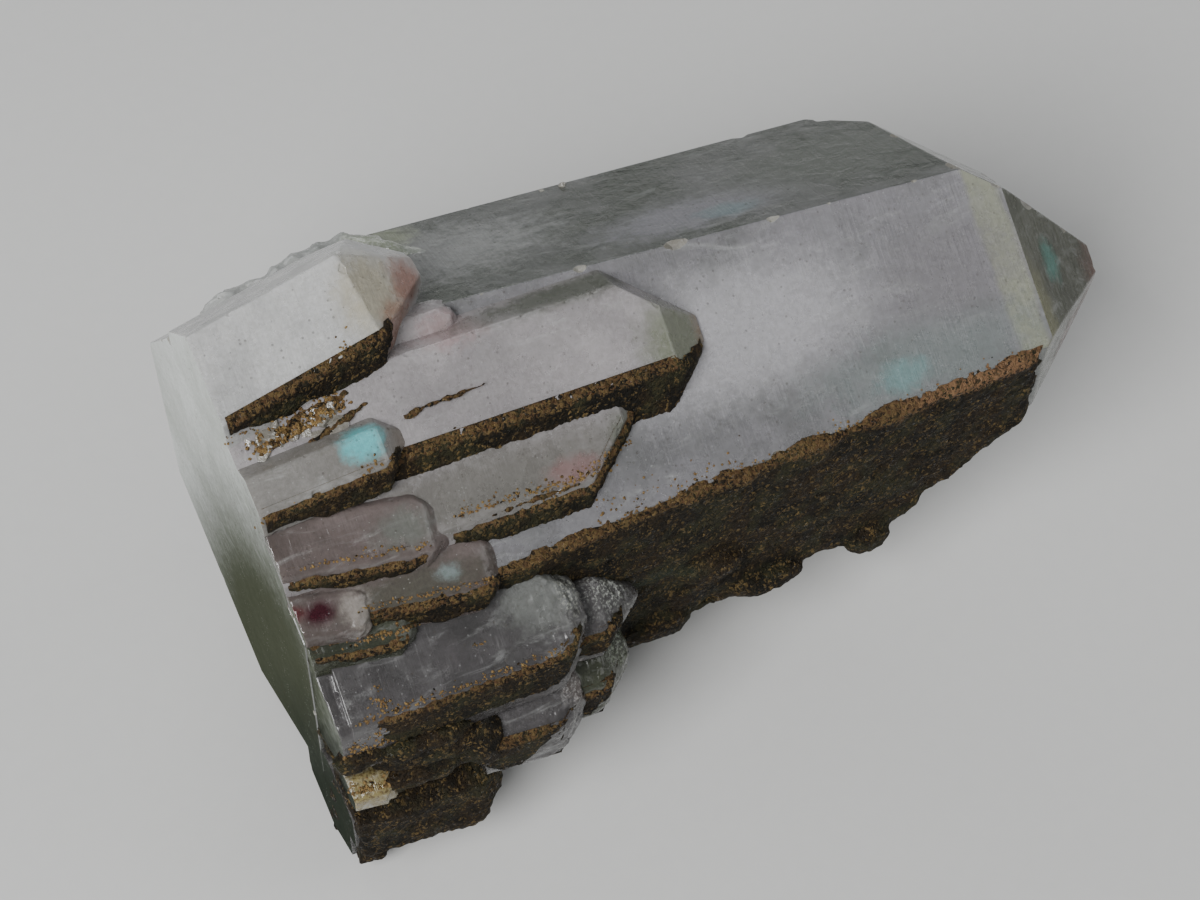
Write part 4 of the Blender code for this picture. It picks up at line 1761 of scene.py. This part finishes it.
@dataclass
class BigCrust:
    """The iron-stained crust on the lower faces of the large crystal, with its lumps and feet."""

    depth: float = 0.6
    thickness: float = 1.0
    start: float = 0.5
    rear_edge: float = 9.0
    side_cell: float = 0.46
    under_cell: float = 0.75
    relief: tuple = ((5.5, 0.65), (1.9, 0.3), (0.75, 0.26))
    smallest_crumb: int = 400
    side_lumps: tuple = (
        Lump((82.0, -26.8, -2.2), (3.4, 2.0, 2.6)),
        Lump((66.0, -27.2, -2.0), (6.0, 2.0, 4.0)),
        Lump((48.0, -28.0, -4.0), (8.0, 2.6, 5.0)),
        Lump((57.0, -22.6, 8.0), (5.0, 2.4, 4.0)),
        Lump((13.0, -35.2, -6.0), (11.4, 5.8, 10.2)),
        Lump((7.4, -38.4, -11.0), (5.6, 5.6, 7.4)),
        Lump((25.0, -33.0, -5.0), (8.0, 4.6, 6.0)),
        Lump((9.0, -38.4, -15.0), (7.4, 5.6, 6.0)),
        Lump((4.6, -29.4, 18.4), (3.6, 1.8, 2.2)),
        Lump((9.6, -30.4, 18.2), (3.4, 1.6, 2.2)),
        Lump((14.6, -30.2, 18.0), (4.4, 1.6, 2.4)),
        Lump((12.0, -34.2, 10.5), (7.0, 2.0, 3.4)),
        Lump((14.0, -31.2, 14.6), (9.0, 2.6, 3.2), -4),
        Lump((20.4, -32.4, 12.6), (2.8, 4.4, 4.6), -4),
        Lump((20.0, -34.2, 11.0), (6.0, 1.6, 2.6), -4),
    )
    under_lumps: tuple = (
        Lump((14.0, -20.0, -30.4), (11.6, 7.0, 6.0)),
        Lump((58.0, -15.0, -27.4), (11.0, 7.0, 7.4)),
        Lump((62.0, -3.0, -28.4), (9.0, 8.0, 9.4)),
    )

    def slab(self, cluster: QuartzCluster, azimuth: int) -> bmesh.types.BMesh:
        """The sheet of crust on one prism face.

        Args:
            cluster: the quartz that it lies on.
            azimuth: direction of the face.

        Returns:
            The solid.
        """
        crusted = {one: prism_plane(one, *cluster.prism_faces[one]) for one in (298, 240, 180)}
        outer = [plane.moved(self.thickness) for plane in crusted.values()]
        top = prism_plane(0, *cluster.prism_faces[0]).moved(0.1)
        rear = CutPlane(Vector((0, 1, 0)), self.rear_edge)
        tips = [tip_plane(one, cluster.tip_faces[one]).moved(-0.4) for one in (0, 180, 240, 300)]
        inner = crusted[azimuth].moved(-self.depth).reversed()
        return cut_from_block([*outer, top, rear, cluster.sawn().moved(-self.start), *tips, inner])

    def build(self, name: str, shapes: list, cell: float, cluster: QuartzCluster,
              material: bpy.types.Material) -> bpy.types.Object:
        """Melt, roughen and dress one stretch of the crust.

        Args:
            name: the piece's name.
            shapes: its overlapping solids.
            cell: size of its cells.
            cluster: the quartz that it lies on.
            material: the crust's finish.

        Returns:
            The finished piece.
        """
        crust = as_object(name, gathered(shapes))
        melt(crust, cell)

        push_skin(crust, lambda point, normal: uneven(point, self.relief))
        combine(crust, cluster.core(0.4), Joining.DIFFERENCE)
        drop_crumbs(crust, self.smallest_crumb)
        top = prism_plane(0, *cluster.prism_faces[0])
        store_rim(crust, lambda point: clamp(0.9 + top.height(point) / 1.4))
        crust.data.materials.clear()
        crust.data.materials.append(material)
        lay_down(crust)
        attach(crust, "root")
        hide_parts("iron_stained_crust")
        return crust

    def build_all(self, cluster: QuartzCluster, material: bpy.types.Material) -> list:
        """Build the crust that faces forward, finely, and the crust beneath.

        Args:
            cluster: the quartz that it lies on.
            material: the crust's finish.

        Returns:
            Both pieces.
        """
        start = cluster.sawn().moved(-self.start)
        side = [self.slab(cluster, 298), *[lump.shape() for lump in self.side_lumps]]
        side += [one.flat_solid(start, 1.5) for one in SIDE_CRYSTALS if one.crusted]
        under = [self.slab(cluster, azimuth) for azimuth in (240, 180)]
        under += [lump.shape() for lump in self.under_lumps]
        return [
            self.build("iron_crust", side, self.side_cell, cluster, material),
            self.build("iron_crust_beneath", under, self.under_cell, cluster, material),
        ]


@dataclass(frozen=True)
class Strip:
    """A strip of crust on the lower flank of a side crystal.

    Start and end are places along the crystal, top and bottom are how far below the top face it
    begins and stops.
    """

    crystal: str
    start: float
    end: float
    top: float
    bottom: float
    fade: float = 6.0

    def cover(self, point: Vector) -> float:
        """Work out how well the crust covers a point.

        Args:
            point: the point in the crystal's own frame.

        Returns:
            The cover, from -1 to 1.
        """
        wander = noise.noise(point / 3.2)
        rag = noise.noise(point / 1.1)
        below = -point.z + 0.3 * rag + 0.2
        lens = clamp(min((point.x - self.start + 3) / self.fade, (self.end - point.x) / 4))
        bottom = self.top + (self.bottom - self.top) * (0.25 + 0.75 * lens) + 0.7 * wander
        ends = min(self.end - point.x, point.x - self.start + 1.0 if self.start > 0 else 9.0)
        inside = min((below - self.top) / 0.45, (bottom - below) / 0.6, ends / 1.5 + 0.4 * rag)
        return clamp(inside, -1.0, 1.0)


STRIPS = (
    Strip("upper_large", 0, 23.5, 0.0, 5.0, 22.0),
    Strip("middle_large", 8, 62, 0.0, 7.5, 38.0),
    Strip("middle_narrow", 24, 50, 1.1, 5.4, 14.0),
    Strip("blue_spotted", 0, 19.5, 0.5, 5.0, 18.0),
    Strip("purple_round", 2, 19, 1.1, 3.0, 8.0),
    Strip("purple_low", 7, 26, 0.5, 3.4, 10.0),
    Strip("green_stub", 4, 15, 0.3, 1.4),
    Strip("lower_large", 5, 31, 0.5, 6.5, 4.0),
    Strip("lower_glassy", 18, 36, 0.5, 4.5),
    Strip("lower_round", 0, 9, 0.2, 6.5),
    Strip("lower_green", 14, 30, 0.8, 6.0),
)

SEAMS = (
    Lump((8.0, 11.6, 32.5), (7.0, 0.8, 0.9), 12),
    Lump((12.5, 9.4, 33.0), (5.5, 0.5, 0.7), 18),
    Lump((9.0, 7.6, 33.2), (4.5, 0.5, 0.8), 4),
    Lump((26.5, 8.4, 33.0), (6.0, 0.3, 0.3), 2),
    Lump((22.5, 8.1, 33.05), (2.0, 0.42, 0.34), 12),
    Lump((31.0, -6.4, 29.95), (8.5, 0.32, 0.4), -1),
    Lump((6.0, 10.2, 33.2), (3.4, 0.7, 0.7), 20),
    Lump((13.0, 12.2, 32.9), (3.4, 0.7, 0.6), 14),
    Lump((10.5, -15.5, 27.6), (5.0, 0.5, 0.7), -6),
)


@dataclass
class FlankCrust:
    """Thin ragged strips of the same crust on the lower flanks of the side crystals."""

    thickness: float = 0.16
    depth: float = 0.7
    drop: float = 7.0
    cell: float = 0.34
    strip_relief: tuple = ((1.3, 0.14), (0.5, 0.18))
    seam_relief: tuple = ((1.2, 0.3), (0.5, 0.22))

    def skins(self, crystal: SideCrystal) -> list:
        """Thin slabs on a crystal's lower flank and on the lower faces of its point.

        Args:
            crystal: the side crystal.

        Returns:
            The slabs, in the crystal's own frame.
        """
        tips = crystal.tip_planes()
        flank = crystal.flank_plane(-1)
        lower = prism_plane(240, 0.0)
        lower = lower.moved(crystal.apothem() - crystal.apothem() * lower.normal.z)
        hosts = (flank, tips[240], tips[300], lower)
        outer = [host.moved(self.thickness) for host in hosts]
        limits = [
            CutPlane(Vector((0, 0, 1)), 0.05),
            CutPlane(Vector((0, 0, -1)), self.drop),
            CutPlane(Vector((-1, 0, 0)), 3.0),
            CutPlane(Vector((1, 0, 0)), crystal.length + crystal.blunt),
            tips[0],
        ]
        made = []
        for host in hosts:
            made.append(cut_from_block([*outer, *limits, host.moved(-self.depth).reversed()]))
        return made

    def build_strip(self, strip: Strip, sawn: CutPlane) -> bmesh.types.BMesh:
        """Make one strip in the large crystal's frame.

        Args:
            strip: the strip.
            sawn: the plane that ends it.

        Returns:
            The solid.
        """
        crystal = next(one for one in SIDE_CRYSTALS if one.name == strip.crystal)
        made = as_object("strip", gathered(self.skins(crystal)))
        melt(made, self.cell)

        def relief(point: Vector, normal: Vector) -> float:
            """Raise the crust where it covers the flank, and sink it elsewhere.

            Args:
                point: a place on the skin.
                normal: the skin's direction there.

            Returns:
                How far the skin moves outwards.
            """
            if normal.y > 0.2 or normal.z < -0.75:
                return 0.0
            grain = uneven(point, self.strip_relief)
            cover = strip.cover(point)
            return 0.42 * cover - 0.05 + grain * (1.0 if cover > 0 else 0.4)

        push_skin(made, relief)
        store_rim(made, lambda point: clamp(0.66 - (-point.z - strip.top) / 0.75))
        shape = taken_mesh(made)
        crystal.settle(shape, sawn)
        return shape

    def build(self, cluster: QuartzCluster, material: bpy.types.Material) -> bpy.types.Object:
        """Build and dress the strips and the crust in the seams between the crystals.

        Args:
            cluster: the quartz that they grew on.
            material: the crust's finish.

        Returns:
            The finished piece.
        """
        sawn = cluster.sawn().moved(-0.6)
        seams = as_object("seams", gathered([lump.shape() for lump in SEAMS]))
        melt(seams, self.cell * 0.8)
        push_skin(seams, lambda point, normal: uneven(point, self.seam_relief))
        store_rim(seams, lambda point: 0.9)
        shapes = [taken_mesh(seams)] + [self.build_strip(strip, sawn) for strip in STRIPS]
        strips = as_object("flank_crust", gathered(shapes), (material,))
        lay_down(strips)
        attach(strips, "root")
        return strips


@dataclass(frozen=True)
class CrumbTrail:
    """Loose grains of crust lying along a line: its ends, how far they stray, how many."""

    start: tuple
    end: tuple
    stray: float
    count: int
    sizes: tuple = (0.09, 0.26)


CRUMB_TRAILS = (
    CrumbTrail((35, -13.4, 27), (100, -10.6, 25), 0.9, 420),
    CrumbTrail((40, -11.0, 27), (62, -11.5, 26), 1.6, 60),
    CrumbTrail((14, 3.6, 34), (54, 3.4, 33), 0.5, 200),
    CrumbTrail((0, 11.6, 37), (20, 16.4, 36), 0.5, 120),
    CrumbTrail((3, 9.2, 34), (15, 11.6, 34), 1.3, 330, (0.14, 0.36)),
    CrumbTrail((24, -5.2, 31), (44, -6.0, 30), 0.6, 170),
    CrumbTrail((30, -8.6, 30), (48, -3.4, 29), 0.6, 120),
    CrumbTrail((0, 1.4, 36), (18, 2.4, 36), 0.45, 110),
    CrumbTrail((4, -5.0, 32), (19, -7.4, 31), 0.4, 70),
    CrumbTrail((9, -12.0, 30), (26, -14.0, 28), 0.4, 80),
    CrumbTrail((6, -15.6, 28), (16, -16.4, 27), 0.5, 70),
    CrumbTrail((5, -25.0, 26), (32, -25.2, 25), 0.5, 160),
    CrumbTrail((7.8, -24.4, 26), (8.6, -23.6, 26), 0.9, 40),
    CrumbTrail((21.6, -20.8, 26), (22.4, -20.8, 26), 0.4, 10),
    CrumbTrail((16, 17.2, 36), (17, 17.8, 36), 0.9, 16),
    CrumbTrail((1, -33.6, 14), (9, -34.6, 14), 0.7, 110, (0.12, 0.3)),
    CrumbTrail((2, -28.6, 24), (14, -28.6, 24), 0.9, 120, (0.12, 0.34)),
)


@dataclass
class LooseCrumbs:
    """Fine golden-brown grains scattered on the quartz beside the crust."""

    seed: int = 5

    def build(self, quartz: bpy.types.Object, material: bpy.types.Material) -> bpy.types.Object:
        """Drop the grains on the quartz and dress them.

        Args:
            quartz: the finished cluster, still in the crystal's frame.
            material: the crust's finish.

        Returns:
            The finished piece.
        """
        picker = random.Random(self.seed)
        surface = bmesh.new()
        surface.from_mesh(quartz.data)
        tree = BVHTree.FromBMesh(surface)
        grains = bmesh.new()
        for trail in CRUMB_TRAILS:
            for _ in range(trail.count):
                place = Vector(trail.start).lerp(Vector(trail.end), picker.random())
                place.x += picker.gauss(0, 0.5)
                place.y += abs(picker.gauss(0, trail.stray)) - 0.3
                found, _, _, _ = tree.ray_cast(place + Vector((0, 0, 6)), Vector((0, 0, -1)), 14.0)
                radius = picker.uniform(*trail.sizes)
                angle = picker.uniform(0, math.tau)
                turn = Matrix.Rotation(angle, 4, Vector([picker.gauss(0, 1) for _ in range(3)]))
                if found is None:
                    continue
                stretch = Matrix.Diagonal((1.0, picker.uniform(0.6, 1.0), picker.uniform(0.5, 0.9), 1.0))
                spot = Matrix.Translation(found) @ turn @ stretch
                bmesh.ops.create_icosphere(grains, subdivisions=1, radius=radius, matrix=spot)
        surface.free()
        crumbs = as_object("loose_crumbs", grains, (material,))
        store_rim(crumbs, lambda point: 1.1 + 0.5 * noise.noise(point / 1.5))
        lay_down(crumbs)
        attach(crumbs, "root")
        return crumbs


@dataclass
class Studio:
    """Pale floor, soft lights and the camera."""

    camera_place: Vector = field(default_factory=lambda: Vector((-0.0783, -0.1607, 0.3318)))
    forward: Vector = field(default_factory=lambda: Vector((0.1995, 0.4707, -0.8594)))
    right: Vector = field(default_factory=lambda: Vector((0.9209, -0.3898, 0.0003)))
    lens: float = 78.04
    floor_colour: tuple = (0.52, 0.52, 0.51)

    def build(self) -> None:
        """Set up the whole studio."""
        self.build_floor()
        self.build_camera()
        self.build_light("key_light", Vector((-0.42, -0.30, 0.62)), 0.40, 9.0)
        self.build_light("fill_light", Vector((0.75, -0.2, 0.6)), 0.7, 2.6)
        self.build_light("back_light", Vector((0.0, 0.8, 0.5)), 0.6, 2.2)
        world = bpy.data.worlds.new("studio_air")
        bpy.context.scene.world = world
        world.use_nodes = True
        background = world.node_tree.nodes["Background"]
        background.inputs["Color"].default_value = (0.80, 0.84, 0.88, 1.0)
        background.inputs["Strength"].default_value = 0.22

    def build_floor(self) -> None:
        """A large flat floor with a faint grain."""
        shape = bmesh.new()
        bmesh.ops.create_grid(shape, x_segments=2, y_segments=2, size=2.0)
        floor = as_object("floor", shape)
        material, bench, shader = new_material("pale_floor")
        seen = bench.add("ShaderNodeTexCoord")
        grain = bench.noise(seen.outputs["Object"], scale=400.0, detail=3.0, roughness=0.6)
        pale = (*self.floor_colour, 1.0)
        darker = (*[0.95 * part for part in self.floor_colour], 1.0)
        bench.feed(shader.inputs["Base Color"], bench.blend(grain, darker, pale))
        shader.inputs["Roughness"].default_value = 0.8
        floor.data.materials.append(material)

    def build_light(self, name: str, place: Vector, size: float, power: float) -> None:
        """A square soft light aimed at the specimen.

        Args:
            name: its name.
            place: where it hangs.
            size: its width.
            power: its power in watts.
        """
        lamp = bpy.data.lights.new(name, "AREA")
        lamp.shape = "SQUARE"
        lamp.size = size
        lamp.energy = power
        light = bpy.data.objects.new(name, lamp)
        light.location = place
        light.rotation_euler = (Vector((0, 0, 0.03)) - place).to_track_quat("-Z", "Y").to_euler()
        bpy.context.scene.collection.objects.link(light)

    def build_camera(self) -> None:
        """The camera at the photograph's viewing angle."""
        camera = bpy.data.objects.new("camera", bpy.data.cameras.new("camera"))
        back = -self.forward.normalized()
        up = back.cross(self.right).normalized()
        right = up.cross(back)
        turn = Matrix((right, up, back)).transposed().to_4x4()
        camera.matrix_world = Matrix.Translation(self.camera_place) @ turn
        camera.data.lens = self.lens
        camera.data.sensor_width = 36.0
        camera.data.clip_start = 0.01
        camera.data.clip_end = 20.0
        bpy.context.scene.collection.objects.link(camera)
        bpy.context.scene.camera = camera


def report(piece: bpy.types.Object) -> None:
    """Log a piece's name and size.

    Args:
        piece: the finished piece.
    """
    piece.data.calc_loop_triangles()
    log.info("%s: %d triangles", piece.name, len(piece.data.loop_triangles))


def main() -> None:
    """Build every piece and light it."""
    logging.basicConfig(level=logging.INFO, format="%(asctime)s %(message)s")
    effects = Effects()
    cluster = QuartzCluster()
    crust_finish = CrustFinish().material(effects)
    grain_look = CrustFinish("loose_grains", golden=(0.24, 0.16, 0.06), rust=(0.15, 0.085, 0.035))
    grain_finish = grain_look.material(effects)
    quartz = cluster.build(effects)
    report(LooseCrumbs().build(quartz, grain_finish))
    cluster.finish(quartz)
    report(quartz)
    for piece in BigCrust().build_all(cluster, crust_finish):
        report(piece)
    report(FlankCrust().build(cluster, crust_finish))
    Studio().build()


if __name__ == "__main__":
    main()
